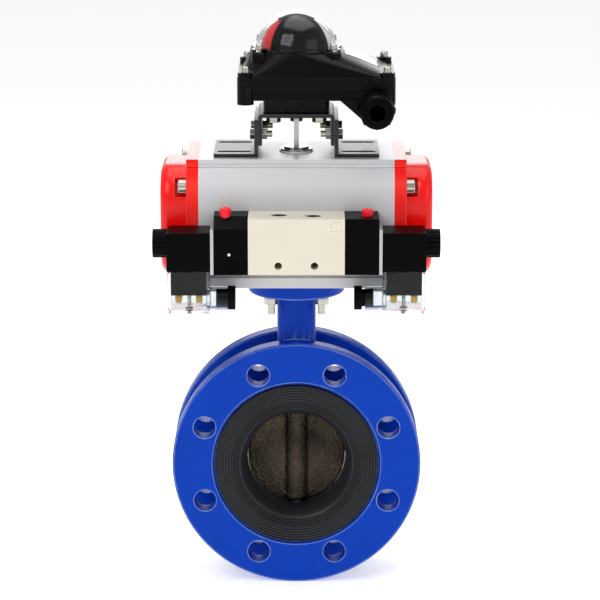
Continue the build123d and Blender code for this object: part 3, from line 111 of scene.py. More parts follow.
# How far the grain takes the roughness below and above its mean, and the smoothest that it may get.
SMOOTHER, ROUGHER, SMOOTHEST = 0.06, 0.08, 0.02
COAT_ROUGHNESS = 0.08
# The cosines of turn that take the painted edge highlight from none to full, and its strength before the
# mottling.
EDGE_COSINES = (0.99, 0.88)
EDGE_STRENGTH = 1.7


class Grain(Enum):
    """How a surface was made, which decides its relief."""

    MOULDED = "spark-eroded mould"
    POLISHED = "polished mould"
    CAST = "sand casting"
    PEEL = "sprayed paint"
    DRAWN = "extruded or drawn along X"
    TURNED = "turned on a lathe"


def linear(hex_colour: str) -> tuple[float, float, float, float]:
    """Turns an sRGB hex colour into linear light.

    Args:
        hex_colour: Six hexadecimal digits after a hash sign.

    Returns:
        Red, green, blue and an alpha of one, all linear.
    """
    parts = [int(hex_colour[k:k + 2], 16) / 255 for k in (1, 3, 5)]
    lit = [c / 12.92 if c <= 0.04045 else ((c + 0.055) / 1.055) ** 2.4 for c in parts]
    return (lit[0], lit[1], lit[2], 1.0)


def add_node(tree: bpy.types.NodeTree, kind: str, settings: dict[str, Any] | None = None,
             values: dict[str, Any] | None = None, links: dict[str, Any] | None = None) -> bpy.types.Node:
    """Adds one shader node.

    Args:
        tree: The material's node tree.
        kind: The node's type name.
        settings: Properties of the node itself.
        values: Constants for its input sockets.
        links: Output sockets to join to its inputs.

    Returns:
        The new node.
    """
    node = tree.nodes.new(kind)
    for name, value in (settings or {}).items():
        setattr(node, name, value)
    for name, value in (values or {}).items():
        node.inputs[name].default_value = value
    for name, source in (links or {}).items():
        tree.links.new(source, node.inputs[name])
    return node


@dataclass(frozen=True)
class Finish:
    """One real material with the surface that its making left.

    Attributes:
        name: The material's common name.
        colour: Its sRGB colour.
        shade: The colour of its darker mottling.
        roughness: The mean roughness.
        grain: How the surface was made.
        grain_mm: The size of one grain, ripple or tool mark.
        relief_mm: How high the grain stands.
        metallic: One for bare metal.
        ior: Index of refraction, left at 1.5 for metals.
        gloss: The specular level, under 0.5 on a dull or dusty skin.
        coat: Weight of a clear layer on top.
        clear: Weight of transmitted light.
        mottle: How far the shade shows through.
        edge: The colour painted on sharply turning edges as a highlight, or nothing.
        edge_mm: How wide that painted edge highlight is.
    """

    name: str
    colour: str
    shade: str
    roughness: float
    grain: Grain = Grain.MOULDED
    grain_mm: float = 0.6
    relief_mm: float = 0.02
    metallic: float = 0.0
    ior: float = 1.5
    gloss: float = 0.5
    coat: float = 0.0
    clear: float = 0.0
    mottle: float = 0.35
    edge: str = ""
    edge_mm: float = 0.7

    def pattern(self, tree: bpy.types.NodeTree, place: bpy.types.NodeSocket) -> bpy.types.NodeSocket:
        """Draws the grain in object coordinates.

        Args:
            tree: The material's node tree.
            place: The object coordinates.

        Returns:
            A height between zero and one.
        """
        per_metre = 1 / (self.grain_mm * MM)
        if self.grain is Grain.DRAWN:
            # Die lines run the whole length, so the noise is stretched along X.
            place = add_node(tree, "ShaderNodeMapping", values={"Scale": (0.01, 1, 1)},
                             links={"Vector": place}).outputs["Vector"]
        if self.grain is Grain.TURNED:
            # Tool marks are rings about the axis of the part, drawn as fine level bands.
            bands = add_node(tree, "ShaderNodeTexWave", {"bands_direction": "Z"},
                             {"Scale": per_metre / 20, "Distortion": 1.5, "Detail": 2.0}, {"Vector": place})
            return bands.outputs["Fac"]
        if self.grain is Grain.CAST:
            # Sand leaves round pits with finer grit between them.
            pits = add_node(tree, "ShaderNodeTexVoronoi", {"feature": "SMOOTH_F1"},
                            {"Scale": per_metre / 2, "Smoothness": 0.6}, {"Vector": place})
            grit = add_node(tree, "ShaderNodeTexNoise", None, {"Scale": per_metre, "Detail": 6.0},
                            {"Vector": place})
            return add_node(tree, "ShaderNodeMix", None, {"Factor": 0.55},
                            {"A": pits.outputs["Distance"], "B": grit.outputs["Fac"]}).outputs["Result"]
        if self.grain is Grain.MOULDED:
            # Spark erosion leaves small even craters.
            craters = add_node(tree, "ShaderNodeTexVoronoi", {"feature": "SMOOTH_F1"},
                               {"Scale": per_metre, "Smoothness": 0.8}, {"Vector": place})
            return craters.outputs["Distance"]
        detail = 0.0 if self.grain is Grain.PEEL else 3.0
        waves = add_node(tree, "ShaderNodeTexNoise", None, {"Scale": per_metre, "Detail": detail},
                         {"Vector": place})
        return waves.outputs["Fac"]

    def paint_edge_highlight(self, tree: bpy.types.NodeTree, base: bpy.types.NodeSocket,
             broad: bpy.types.NodeSocket) -> bpy.types.NodeSocket:
        """Paints the edge colour as a highlight where the skin turns sharply.

        Args:
            tree: The material's node tree.
            base: The colour of the open surface.
            broad: A slow noise that breaks the edge up.

        Returns:
            The colour with its edges worn.
        """
        rounded = add_node(tree, "ShaderNodeBevel", {"samples": 4}, {"Radius": self.edge_mm * MM})
        true_normal = add_node(tree, "ShaderNodeNewGeometry").outputs["True Normal"]
        turn = add_node(tree, "ShaderNodeVectorMath", {"operation": "DOT_PRODUCT"})
        tree.links.new(rounded.outputs["Normal"], turn.inputs[0])
        tree.links.new(true_normal, turn.inputs[1])
        # bare is the cosine past which the edge carries its full painted highlight.
        hidden, bare = EDGE_COSINES
        sharp = add_node(tree, "ShaderNodeMapRange", None,
                         {"From Min": hidden, "From Max": bare, "To Max": EDGE_STRENGTH},
                         {"Value": turn.outputs["Value"]})
        broken = add_node(tree, "ShaderNodeMath", {"operation": "MULTIPLY"})
        tree.links.new(sharp.outputs["Result"], broken.inputs[0])
        tree.links.new(broad, broken.inputs[1])
        return self.blended(tree, broken.outputs["Value"], base, linear(self.edge))

    @staticmethod
    def blended(tree: bpy.types.NodeTree, amount: bpy.types.NodeSocket, first: Any,
                second: Any) -> bpy.types.NodeSocket:
        """Mixes two colours.

        Args:
            tree: The material's node tree.
            amount: How much of the second colour shows.
            first: A colour or an output that gives one.
            second: A colour or an output that gives one.

        Returns:
            The mixed colour.
        """
        mixer = add_node(tree, "ShaderNodeMix", {"data_type": "RGBA"})
        sockets = {socket.identifier: socket for socket in mixer.inputs}
        tree.links.new(amount, sockets["Factor_Float"])
        for name, colour in (("A_Color", first), ("B_Color", second)):
            if isinstance(colour, bpy.types.NodeSocket):
                tree.links.new(colour, sockets[name])
            else:
                sockets[name].default_value = colour
        return next(out for out in mixer.outputs if out.identifier == "Result_Color")

    def build(self) -> bpy.types.Material:
        """Makes the material.

        Returns:
            A material whose colour, roughness and relief vary as the real surface's do, with a painted
            highlight on sharp edges where it has an edge colour.
        """
        material = bpy.data.materials.new(self.name)
        material.use_nodes = True
        tree = material.node_tree
        shader = tree.nodes["Principled BSDF"]
        fixed = {"Metallic": self.metallic, "IOR": self.ior, "Coat Weight": self.coat,
                 "Coat Roughness": COAT_ROUGHNESS, "Transmission Weight": self.clear,
                 "Specular IOR Level": self.gloss}
        for socket, value in fixed.items():
            shader.inputs[socket].default_value = value
        place = add_node(tree, "ShaderNodeTexCoord").outputs["Object"]
        height = self.pattern(tree, place)
        broad = add_node(tree, "ShaderNodeTexNoise", None, {"Scale": MOTTLE_PER_METRE, "Detail": 3.0},
                         {"Vector": place})
        faint, full = MOTTLE_BAND
        patchy = add_node(tree, "ShaderNodeMapRange", None,
                          {"From Min": faint, "From Max": full, "To Max": self.mottle},
                          {"Value": broad.outputs["Fac"]})
        colour = self.blended(tree, patchy.outputs["Result"], linear(self.colour), linear(self.shade))
        # Sharp edges get a painted highlight in the edge colour.
        if self.edge:
            colour = self.paint_edge_highlight(tree, colour, broad.outputs["Fac"])
        tree.links.new(colour, shader.inputs["Base Color"])
        low, high = max(SMOOTHEST, self.roughness - SMOOTHER), min(1.0, self.roughness + ROUGHER)
        rough = add_node(tree, "ShaderNodeMapRange", None, {"To Min": low, "To Max": high}, {"Value": height})
        tree.links.new(rough.outputs["Result"], shader.inputs["Roughness"])
        bump = add_node(tree, "ShaderNodeBump", None, {"Strength": 1.0, "Distance": self.relief_mm * MM},
                        {"Height": height})
        tree.links.new(bump.outputs["Normal"], shader.inputs["Normal"])
        return material


# Blue enamel over sand-cast iron: a deep even blue, with the casting's slow ripple and a painted pale edge
# highlight.
VALVE_ENAMEL = Finish("blue_enamel_on_cast_iron", "#003cb0", "#003095", 0.3, Grain.PEEL, 2.6, 0.06, gloss=0.1,
                      edge="#b4ccf5", edge_mm=1.2)
# Nitrile rubber, moulded: nearly black and dull, a little paler where it has bloomed.
NITRILE = Finish("moulded_nitrile_rubber", "#232428", "#101013", 0.4, Grain.MOULDED, 0.8, 0.04, gloss=0.3,
                 mottle=0.6)
# Nickel-plated cast iron: dark and gritty as the sand left it, with bright specks on the high spots.
PLATED_CASTING = Finish("nickel_plated_casting", "#4d443a", "#18140f", 0.22, Grain.CAST, 1.0, 1.5,
                        metallic=0.9, mottle=0.9)
# Hard-anodised extrusion: satin grey with fine die lines along its length.
# Its edge colour is a painted pale highlight on sharp edges.
EXTRUSION = Finish("anodised_aluminium_extrusion", "#cdcdcf", "#bebec1", 0.38, Grain.DRAWN, 0.5, 0.03,
                   metallic=0.3, edge="#f0f0f2")
# Polyester powder coat in signal red: glossy, with orange peel, darker where it is thick.
# Its edge colour is a painted pale highlight on sharp edges.
RED_POWDER = Finish("red_powder_coat", "#f40d09", "#d60a07", 0.22, Grain.PEEL, 1.8, 0.06, gloss=0.25,
                    coat=0.12, edge="#ff6a58")
# Black powder coat on a die casting: an even black with a broad soft sheen.
# Its edge colour is a painted grey highlight on sharp edges.
BLACK_POWDER = Finish("black_powder_coat_on_die_casting", "#030304", "#010102", 0.24, Grain.PEEL, 1.1, 0.03,
                      gloss=0.1, edge="#26272a")
# Cream stove enamel on an aluminium block: even and satin.
# Its edge colour is a painted pale highlight on sharp edges.
CREAM_ENAMEL = Finish("cream_stove_enamel", "#ddd6c5", "#d4ccba", 0.42, Grain.PEEL, 1.2, 0.03, gloss=0.3,
                      edge="#f2ecdf")
# Glass-filled nylon: black with a fine eroded texture.
# Its edge colour is a painted grey highlight on sharp edges.
NYLON = Finish("glass_filled_nylon", "#020203", "#010101", 0.38, Grain.MOULDED, 0.6, 0.04, gloss=0.05,
               edge="#202024")
# Black acrylic: polished, so it mirrors the windows of a room.
GLOSS_ACRYLIC = Finish("black_gloss_acrylic", "#010102", "#000001", 0.05, Grain.POLISHED, 12.0, 0.002,
                       gloss=0.2)
# Red acetal: waxy and slightly soft at its edges.
RED_ACETAL = Finish("red_acetal", "#ff1a34", "#f0142a", 0.3, Grain.MOULDED, 0.8, 0.03, gloss=0.3)
# White ABS: plain satin moulding.
WHITE_ABS = Finish("white_abs", "#e9e9e6", "#dadad6", 0.35, Grain.MOULDED, 0.8, 0.03)
# Red ABS: the flag that shows through a window.
FLAG_RED = Finish("red_abs", "#e8141c", "#c70d14", 0.35, Grain.MOULDED, 0.8, 0.03)
# Clear polycarbonate: moulded to a polish, with a faint waviness and a cold tint.
CLEAR_PC = Finish("clear_polycarbonate", "#e4e8ea", "#d8dde0", 0.06, Grain.POLISHED, 9.0, 0.02,
                  ior=1.25, clear=1.0)
# Clear acrylic of the dome: brighter and colder than the plugs, so what turns under it stays sharp.
DOME_ACRYLIC = Finish("clear_acrylic_dome", "#fbfdff", "#f4f8fb", 0.02, Grain.POLISHED, 20.0, 0.002,
                      ior=1.2, clear=1.0)
# Bright zinc plate on steel fasteners: a warm grey mirror, dulled by handling.
ZINC = Finish("zinc_plated_steel", "#c4c0b6", "#8d897f", 0.25, Grain.TURNED, 0.5, 0.02, metallic=1.0,
              mottle=0.6)
# Turned stainless steel: bright with ring marks.
STAINLESS = Finish("turned_stainless_steel", "#b9babc", "#98999c", 0.24, Grain.TURNED, 0.3, 0.01,
                   metallic=1.0)
# Electro-coated sheet steel: dark grey and half glossy, with a painted grey highlight on its edges.
BRACKET_COAT = Finish("black_coated_sheet_steel", "#17181a", "#0c0d0e", 0.33, Grain.PEEL, 1.4, 0.06,
                      gloss=0.4, edge="#5d5f61")
# Turned brass: yellow metal with ring marks.
BRASS = Finish("turned_brass", "#c9a24e", "#a9823a", 0.28, Grain.TURNED, 0.3, 0.01, metallic=1.0)
# Sintered bronze: brown and open-grained.
BRONZE = Finish("sintered_bronze", "#9c7440", "#7b5a30", 0.4, Grain.MOULDED, 0.4, 0.02, metallic=1.0)
# Machined aluminium: pale metal with tool marks.
BARE_ALUMINIUM = Finish("machined_aluminium", "#d2d2d4", "#b9b9bc", 0.3, Grain.TURNED, 0.3, 0.01,
                        metallic=1.0)
# Machined port threads: metal coloured dark as painted shade inside the port, glinting only on their crests.
PORT_THREAD_PAINTED_DARK = Finish("port_thread_painted_dark", "#4b4a47", "#2c2b29", 0.35, Grain.TURNED, 0.3, 0.01,
                      metallic=1.0, mottle=0.7)
# Brushed foil of a blank rating plate: pale silver, brushed along X.
LABEL_FOIL = Finish("brushed_aluminium_foil", "#cfd0d2", "#9fa1a4", 0.3, Grain.DRAWN, 0.25, 0.02,
                    metallic=0.9, mottle=0.6)
# Milky lens of an indicator lamp that is off.
LAMP_LENS = Finish("milky_polystyrene", "#f1f2ee", "#dedfda", 0.2, Grain.POLISHED, 1.0, 0.01)

# The finish of each CAD node, and how far its edges are rounded, in millimetres.
DRESS: dict[str, tuple[Finish, float]] = {
    "valve_body": (VALVE_ENAMEL, 1.0), "seat_liner": (NITRILE, 0.0), "valve_disc": (PLATED_CASTING, 0.7),
    "valve_stem": (STAINLESS, 0.0), "disc_pins": (STAINLESS, 0.0), "stem_bushes": (BRONZE, 0.0),
    "stem_seals": (NITRILE, 0.0), "top_flange_fasteners": (ZINC, 0.25),
    "actuator_body": (EXTRUSION, 0.35), "end_cap_left": (RED_POWDER, 0.8), "end_cap_right": (RED_POWDER, 0.8),
    "end_cap_screws": (ZINC, 0.3), "end_cap_seals": (NITRILE, 0.0), "pinion": (STAINLESS, 0.0),
    "pinion_bearings": (WHITE_ABS, 0.0), "pinion_circlip": (STAINLESS, 0.0), "stop_cam": (STAINLESS, 0.0),
    "stop_screws": (ZINC, 0.3), "piston_left": (BARE_ALUMINIUM, 0.0), "piston_right": (BARE_ALUMINIUM, 0.0),
    "piston_seal_left": (NITRILE, 0.0), "piston_seal_right": (NITRILE, 0.0),
    "solenoid_body": (CREAM_ENAMEL, 0.3), "solenoid_gasket": (NITRILE, 0.0), "solenoid_screws": (ZINC, 0.0),
    "valve_spool": (BARE_ALUMINIUM, 0.0), "pilot_block_left": (NYLON, 0.6), "pilot_block_right": (NYLON, 0.6),
    "override_button_left": (RED_ACETAL, 0.0), "override_button_right": (RED_ACETAL, 0.0),
    "armature_tubes": (STAINLESS, 0.2), "plunger_left": (STAINLESS, 0.0), "plunger_right": (STAINLESS, 0.0),
    "coils": (NYLON, 0.4), "coil_nuts": (NYLON, 0.5), "connectors": (CLEAR_PC, 0.3),
    "terminal_inserts": (NYLON, 0.0), "connector_screws": (ZINC, 0.0), "connector_gland_nuts": (NYLON, 0.4),
    "bracket_plate": (BRACKET_COAT, 0.3), "bracket_foot_left": (BRACKET_COAT, 0.5),
    "bracket_foot_right": (BRACKET_COAT, 0.5), "bracket_fasteners": (ZINC, 0.25),
    "box_base": (BLACK_POWDER, 0.6), "box_lid": (BLACK_POWDER, 0.6), "box_seal": (NITRILE, 0.0),
    "cover_screws": (ZINC, 0.3), "indicator_dome": (DOME_ACRYLIC, 0.0),
    "indicator_mask": (GLOSS_ACRYLIC, 0.0),
    "indicator_rotor": (WHITE_ABS, 0.0), "indicator_flags": (FLAG_RED, 0.0), "switch_shaft": (STAINLESS, 0.0),
    "switch_cams": (RED_ACETAL, 0.0), "micro_switches": (NYLON, 0.0),
    "switch_plunger_closed": (WHITE_ABS, 0.0), "switch_plunger_open": (WHITE_ABS, 0.0),
    "terminal_strip": (WHITE_ABS, 0.0),
    "cable_gland": (NYLON, 0.5), "gland_nut": (NYLON, 0.6), "blanking_plug": (NYLON, 0.5),
}


def spun(profile: list[tuple[float, float]], centre: Vector, axis: Vector, steps: int = 96,
         closed: bool = True) -> bmesh.types.BMesh:
    """Turns an outline about an axis.

    Args:
        profile: Radius and height of each corner, in millimetres from the centre.
        centre: A point on the axis, in metres.
        axis: The axis's direction.
        steps: How many faces go round.
        closed: Whether the outline returns to its start; one that ends on the axis doesn't.

    Returns:
        The turned shape with its faces outwards.
    """
    shape = bmesh.new()
    out = axis.orthogonal().normalized()
    corners = [shape.verts.new(centre + (out * radius + axis * height) * MM) for radius, height in profile]
    followers = corners[1:] + corners[:1] if closed else corners[1:]
    for first, second in zip(corners, followers):
        shape.edges.new((first, second))
    bmesh.ops.spin(shape, geom=shape.verts[:] + shape.edges[:], cent=centre, axis=axis, angle=2 * math.pi,
                   steps=steps, use_merge=True)
    bmesh.ops.remove_doubles(shape, verts=shape.verts, dist=SPIN_MERGE_M)
    bmesh.ops.recalc_face_normals(shape, faces=shape.faces)
    return shape


def block(low: Vector, high: Vector, round_mm: float = 0.0) -> bmesh.types.BMesh:
    """Makes a box, with its edges rounded where a radius is given.

    Args:
        low: Its lowest corner, in metres.
        high: Its highest corner, in metres.
        round_mm: The radius of its edges, in millimetres.

    Returns:
        The box.
    """
    shape = bmesh.new()
    bmesh.ops.create_cube(shape, size=1.0)
    bmesh.ops.scale(shape, vec=high - low, verts=shape.verts)
    bmesh.ops.translate(shape, vec=(low + high) / 2, verts=shape.verts)
    if round_mm > 0:
        bmesh.ops.bevel(shape, geom=shape.edges[:], offset=round_mm * MM, affect="EDGES", segments=2,
                        profile=0.5, material=-1)
    return shape


def joined(shapes: list[bmesh.types.BMesh]) -> bmesh.types.BMesh:
    """Puts several shapes into one mesh, and frees them.

    Args:
        shapes: The shapes to gather.

    Returns:
        One bmesh with every shape in it.
    """
    whole = bmesh.new()
    for shape in shapes:
        mesh = bpy.data.meshes.new("passing")
        shape.to_mesh(mesh)
        shape.free()
        whole.from_mesh(mesh)
        bpy.data.meshes.remove(mesh)
    return whole


def carved(shape: bmesh.types.BMesh, cutter: bmesh.types.BMesh) -> bmesh.types.BMesh:
    """Cuts one shape out of another, and frees both.

    Args:
        shape: The shape that stays.
        cutter: The shape that is taken away.

    Returns:
        What is left.
    """
    things = []
    for name, mesh_source in (("blank", shape), ("cutter", cutter)):
        mesh = bpy.data.meshes.new(name)
        mesh_source.to_mesh(mesh)
        mesh_source.free()
        thing = bpy.data.objects.new(name, mesh)
        bpy.context.scene.collection.objects.link(thing)
        things.append(thing)
    cut = things[0].modifiers.new("cut", "BOOLEAN")
    cut.object = things[1]
    cut.operation = "DIFFERENCE"
    cut.solver = "EXACT"
    finished = things[0].evaluated_get(bpy.context.evaluated_depsgraph_get())
    result = bmesh.new()
    result.from_mesh(finished.to_mesh())
    finished.to_mesh_clear()
    for thing in things:
        mesh = thing.data
        bpy.data.objects.remove(thing)
        bpy.data.meshes.remove(mesh)
    return result


@dataclass
class Workshop:
    """Hands out materials and turns CAD nodes and new meshes into finished pieces.

    Attributes:
        made: Materials already built, by name.
    """

    frame: dict[str, Any]
    made: dict[str, bpy.types.Material] = field(default_factory=dict)

    def material(self, finish: Finish) -> bpy.types.Material:
        """The one material of a finish, built when first asked for."""
        if finish.name not in self.made:
            self.made[finish.name] = finish.build()
        return self.made[finish.name]

    def frame_low(self, node: str) -> Vector:
        """The lowest corner of a CAD node's box."""
        return Vector(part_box(node)[0])

    def body_of(self, node: str) -> str:
        """The name of the body that holds a CAD node."""
        return self.frame["nodes"][node]["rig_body"]

    def paint(self, thing: bpy.types.Object, finish: Finish) -> None:
        """Gives a whole object one finish.

        Args:
            thing: The object to dress.
            finish: What it is made of.
        """
        thing.data.materials.clear()
        thing.data.materials.append(self.material(finish))

    def piece(self, name: str, shape: bmesh.types.BMesh, finish: Finish, node: str,
              stands_for: bool = False) -> bpy.types.Object:
        """Turns a finished bmesh into a piece that rides with a CAD node.

        Args:
            name: The new piece's name.
            shape: Its mesh, in metres in the shared frame, which is freed.
            finish: What it is made of.
            node: The CAD node it goes with.
            stands_for: Whether the CAD node is hidden behind it.

        Returns:
            The new object.
        """
        mesh = bpy.data.meshes.new(name)
        shape.to_mesh(mesh)
        shape.free()
        thing = bpy.data.objects.new(name, mesh)
        bpy.context.scene.collection.objects.link(thing)
        mesh.shade_smooth()
        mesh.set_sharp_from_angle(angle=math.radians(SHARP_DEG))
        self.paint(thing, finish)
        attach(thing, self.body_of(node))
        if stands_for:
            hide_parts(node)
        return thing

    def copy_of(self, node: str) -> bmesh.types.BMesh:
        """Copies a CAD node's mesh with its corners merged.

        Args:
            node: The CAD node.

        Returns:
            The copy.
        """
        shape = bmesh.new()
        shape.from_mesh(self.frame["nodes"][node].data)
        bmesh.ops.remove_doubles(shape, verts=shape.verts, dist=MERGE_M)
        return shape

    def solids_of(self, node: str) -> list[tuple[Vector, Vector]]:
        """Finds the separate solids of a CAD node.

        Args:
            node: The CAD node, such as a group of screws.

        Returns:
            The lowest and highest corner of each solid.
        """
        shape = self.copy_of(node)
        waiting = set(shape.verts)
        boxes = []
        while waiting:
            found = [waiting.pop()]
            for vert in found:
                for edge in vert.link_edges:
                    other = edge.other_vert(vert)
                    if other in waiting:
                        waiting.remove(other)
                        found.append(other)
            columns = list(zip(*(vert.co for vert in found)))
            boxes.append((Vector([min(c) for c in columns]), Vector([max(c) for c in columns])))
        shape.free()
        return sorted(boxes, key=lambda box: tuple(box[0]))

    def soften(self, node: str, finish: Finish, round_mm: float,
               cutters: list[bmesh.types.BMesh] | None = None) -> bpy.types.Object:
        """Copies a CAD node with its edges rounded, to stand for it.

        Args:
            node: The CAD node.
            finish: What it is made of.
            round_mm: The radius of its edges.
            cutters: Shallow shapes to sink into the copy first.

        Returns:
            The rounded copy.
        """
        shape = self.copy_of(node)
        bmesh.ops.dissolve_limit(shape, angle_limit=math.radians(FLAT_DEG), verts=shape.verts,
                                 edges=shape.edges)
        for cutter in cutters or []:
            shape = carved(shape, cutter)
        thing = self.piece(node + "_finished", shape, finish, node, stands_for=True)
        rounding = thing.modifiers.new("rounded_edges", "BEVEL")
        rounding.width = round_mm * MM
        rounding.segments = 2
        rounding.limit_method = "ANGLE"
        rounding.angle_limit = math.radians(ROUNDED_DEG)
        rounding.miter_outer = "MITER_ARC"
        rounding.harden_normals = True
        return thing


@dataclass
class Dressing:
    """Gives every CAD node its finish, and rounds the edges of those that are seen.

    Attributes:
        shop: The workshop.
        remade: Nodes that have a hand-built piece of their own.
        cutters: Shallow shapes sunk into a node's copy.
    """

    shop: Workshop
    remade: frozenset[str]
    cutters: dict[str, list[bmesh.types.BMesh]]

    def build(self) -> None:
        """Dresses each node of the frame."""
        for node, (finish, round_mm) in DRESS.items():
            self.shop.paint(self.shop.frame["nodes"][node], finish)
            if round_mm > 0 and node not in self.remade:
                self.shop.soften(node, finish, round_mm, self.cutters.get(node))
            LOG.info("%s is %s", node, finish.name)


@dataclass
class SolenoidFace:
    """The small things on the front of the solenoid valve: a blank pad and an indicator lamp.

    Attributes:
        shop: The workshop.
        pad_mm: The blank pad's middle and half sizes across and up, in millimetres.
        groove_mm: Width and depth of the groove round it.
        lamp_mm: The lamp's place across and up, in millimetres.
        lamp_r_mm: The lamp's radius.
    """

    shop: Workshop
    pad_mm: tuple[float, float, float, float] = (31.0, 206.0, 3.6, 3.2)
    groove_mm: tuple[float, float] = (0.7, 0.5)
    lamp_mm: tuple[float, float] = (-52.0, 184.0)
    lamp_r_mm: float = 1.1

    def pad_groove(self) -> list[bmesh.types.BMesh]:
        """Makes the four cutters of the square groove that leaves the pad standing.

        Returns:
            One bar for each side of the square.
        """
        front = self.shop.frame_low("solenoid_body").y
        x, z, half_x, half_z = self.pad_mm
        wide, deep = self.groove_mm
        bars = []
        for side in (-1, 1):
            edge_x, edge_z = x + side * (half_x + wide / 2), z + side * (half_z + wide / 2)
            bars.append(((x - half_x - wide, edge_z - wide / 2), (x + half_x + wide, edge_z + wide / 2)))
            bars.append(((edge_x - wide / 2, z - half_z), (edge_x + wide / 2, z + half_z)))
        return [block(Vector((x0 * MM, front - MM, z0 * MM)), Vector((x1 * MM, front + deep * MM, z1 * MM)))
                for (x0, z0), (x1, z1) in bars]

    def lamp_seat(self) -> bmesh.types.BMesh:
        """The round hole that the lamp sits in, as a cutter."""
        front = self.shop.frame_low("pilot_block_left").y
        x, z = self.lamp_mm
        middle = Vector((x * MM, front, z * MM))
        return spun([(0, -1), (self.lamp_r_mm + 0.3, -1), (self.lamp_r_mm + 0.3, 0.8), (0, 0.8)], middle,
                    ALONG_FLOW, 24, closed=False)

    def build(self) -> None:
        """Sets the lamp's lens in its hole."""
        front = self.shop.frame_low("pilot_block_left").y
        x, z = self.lamp_mm
        radius = self.lamp_r_mm
        lens = spun([(0, 0.02), (radius * 0.6, 0.1), (radius, 0.35), (radius, 0.8), (0, 0.8)],
                    Vector((x * MM, front, z * MM)), ALONG_FLOW, 24, closed=False)
        self.shop.piece("pilot_lamp", lens, LAMP_LENS, "pilot_block_left")


@dataclass
class RubberLiner:
    """The liner's two lips with their sealing rings, the funnel behind them and the sleeve.

    Attributes:
        shop: The workshop.
        seat_mm: Radius of the sleeve's outside.
        cone_mm: Radius where the flat lip turns into the funnel.
        ring_pitch_mm: Spacing of the sealing rings.
        ring_depth_mm: Depth of the grooves between them.
        lip_mm: Thickness of the lip.
        lip_round_mm: The rounding of its outer corner.
        cone_rings: How many grooves the funnel has, and their spacing in millimetres.
        cone_drop_mm: How far the funnel falls from the lip to the sleeve.
        throat_mm: Radius and depth of each corner between the funnel and the bore.
        stem_mm: Radius of the stem's holes.
    """

    shop: Workshop
    seat_mm: float = 46.0
    cone_mm: float = 52.0
    ring_pitch_mm: float = 2.2
    ring_depth_mm: float = 0.85
    lip_mm: float = 5.0
    lip_round_mm: float = 0.4
    cone_rings: tuple[int, float] = (3, 1.8)
    cone_drop_mm: float = 2.5
    throat_mm: tuple[tuple[float, float], ...] = ((46.0, 2.6), (44.3, 4.2), (42.4, 8.0), (41.0, 10.6),
                                                  (40.0, 12.5))
    stem_mm: float = 6.35

    def lip(self, half: float, outer: float) -> list[tuple[float, float]]:
        """The outline of one lip from its back edge in to the bore.

        Args:
            half: Half the liner's width, in millimetres.
            outer: The lip's outer radius.

        Returns:
            Radius and height of each corner.
        """
        back, corner = half - self.lip_mm, self.lip_round_mm
        outline = [(self.seat_mm, back), (outer, back), (outer, half - corner), (outer - corner, half)]
        radius = outer - 1.0
        while radius > self.cone_mm:
            outline += [(radius, half), (radius - 0.35, half - self.ring_depth_mm),
                        (radius - 0.75, half - self.ring_depth_mm), (radius - 1.1, half)]
            radius -= self.ring_pitch_mm
        slope = self.cone_drop_mm / (self.cone_mm - self.seat_mm)
        rings, pitch = self.cone_rings
        for step in range(rings):
            radius = self.cone_mm - 0.6 - step * pitch
            top = half - (self.cone_mm - radius) * slope
            outline += [(radius, top), (radius - 0.35, top - self.ring_depth_mm - 0.1),
                        (radius - 0.8, top - self.ring_depth_mm - 0.3), (radius - 1.1, top - 0.45)]
        return outline + [(radius, half - depth) for radius, depth in self.throat_mm]

    def build(self) -> None:
        """Spins the liner, drills it for the stem and fits it."""
        low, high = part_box("seat_liner")
        half, outer = (high[1] - low[1]) / 2 / MM, (high[0] - low[0]) / 2 / MM
        front = self.lip(half, outer)
        rear = [(radius, -height) for radius, height in reversed(front)]
        sleeve = spun(front + rear, Vector((0, STEM_Y, 0)), -ALONG_FLOW, 128)
        drill = spun([(0, -outer), (self.stem_mm, -outer), (self.stem_mm, outer), (0, outer)],
                     Vector((0, STEM_Y, 0)), UP, 32, closed=False)
        self.shop.piece("rubber_liner", carved(sleeve, drill), NITRILE, "seat_liner", stands_for=True)


@dataclass
class CastDisc:
    """The disc, with the soft corners and sand-pitted skin of a casting.

    Attributes:
        shop: The workshop.
        cell_mm: Size of the cells that its skin is remade from.
        pit_mm: Depth of the pits, which only go inwards.
        grit_mm: Their spacing.
        easing: How strongly its corners are eased, and how many times.
    """

    shop: Workshop
    cell_mm: float = 0.85
    pit_mm: float = 0.5
    grit_mm: float = 2.4
    easing: tuple[float, int] = (0.5, 3)

    def build(self) -> None:
        """Remakes the disc's skin, rounds it and pits it."""
        disc = self.shop.piece("cast_disc", self.shop.copy_of("valve_disc"), PLATED_CASTING, "valve_disc",
                               stands_for=True)
        skin = disc.modifiers.new("skin", "REMESH")
        skin.mode = "VOXEL"
        skin.voxel_size = self.cell_mm * MM
        skin.use_smooth_shade = True
        ease = disc.modifiers.new("soft_corners", "SMOOTH")
        ease.factor, ease.iterations = self.easing
        sand = bpy.data.textures.new("sand", "CLOUDS")
        sand.noise_scale = self.grit_mm * MM
        sand.noise_depth = 3
        pits = disc.modifiers.new("sand_pits", "DISPLACE")
        pits.texture = sand
        pits.texture_coords = "LOCAL"
        pits.mid_level = 1.0
        pits.strength = self.pit_mm * MM


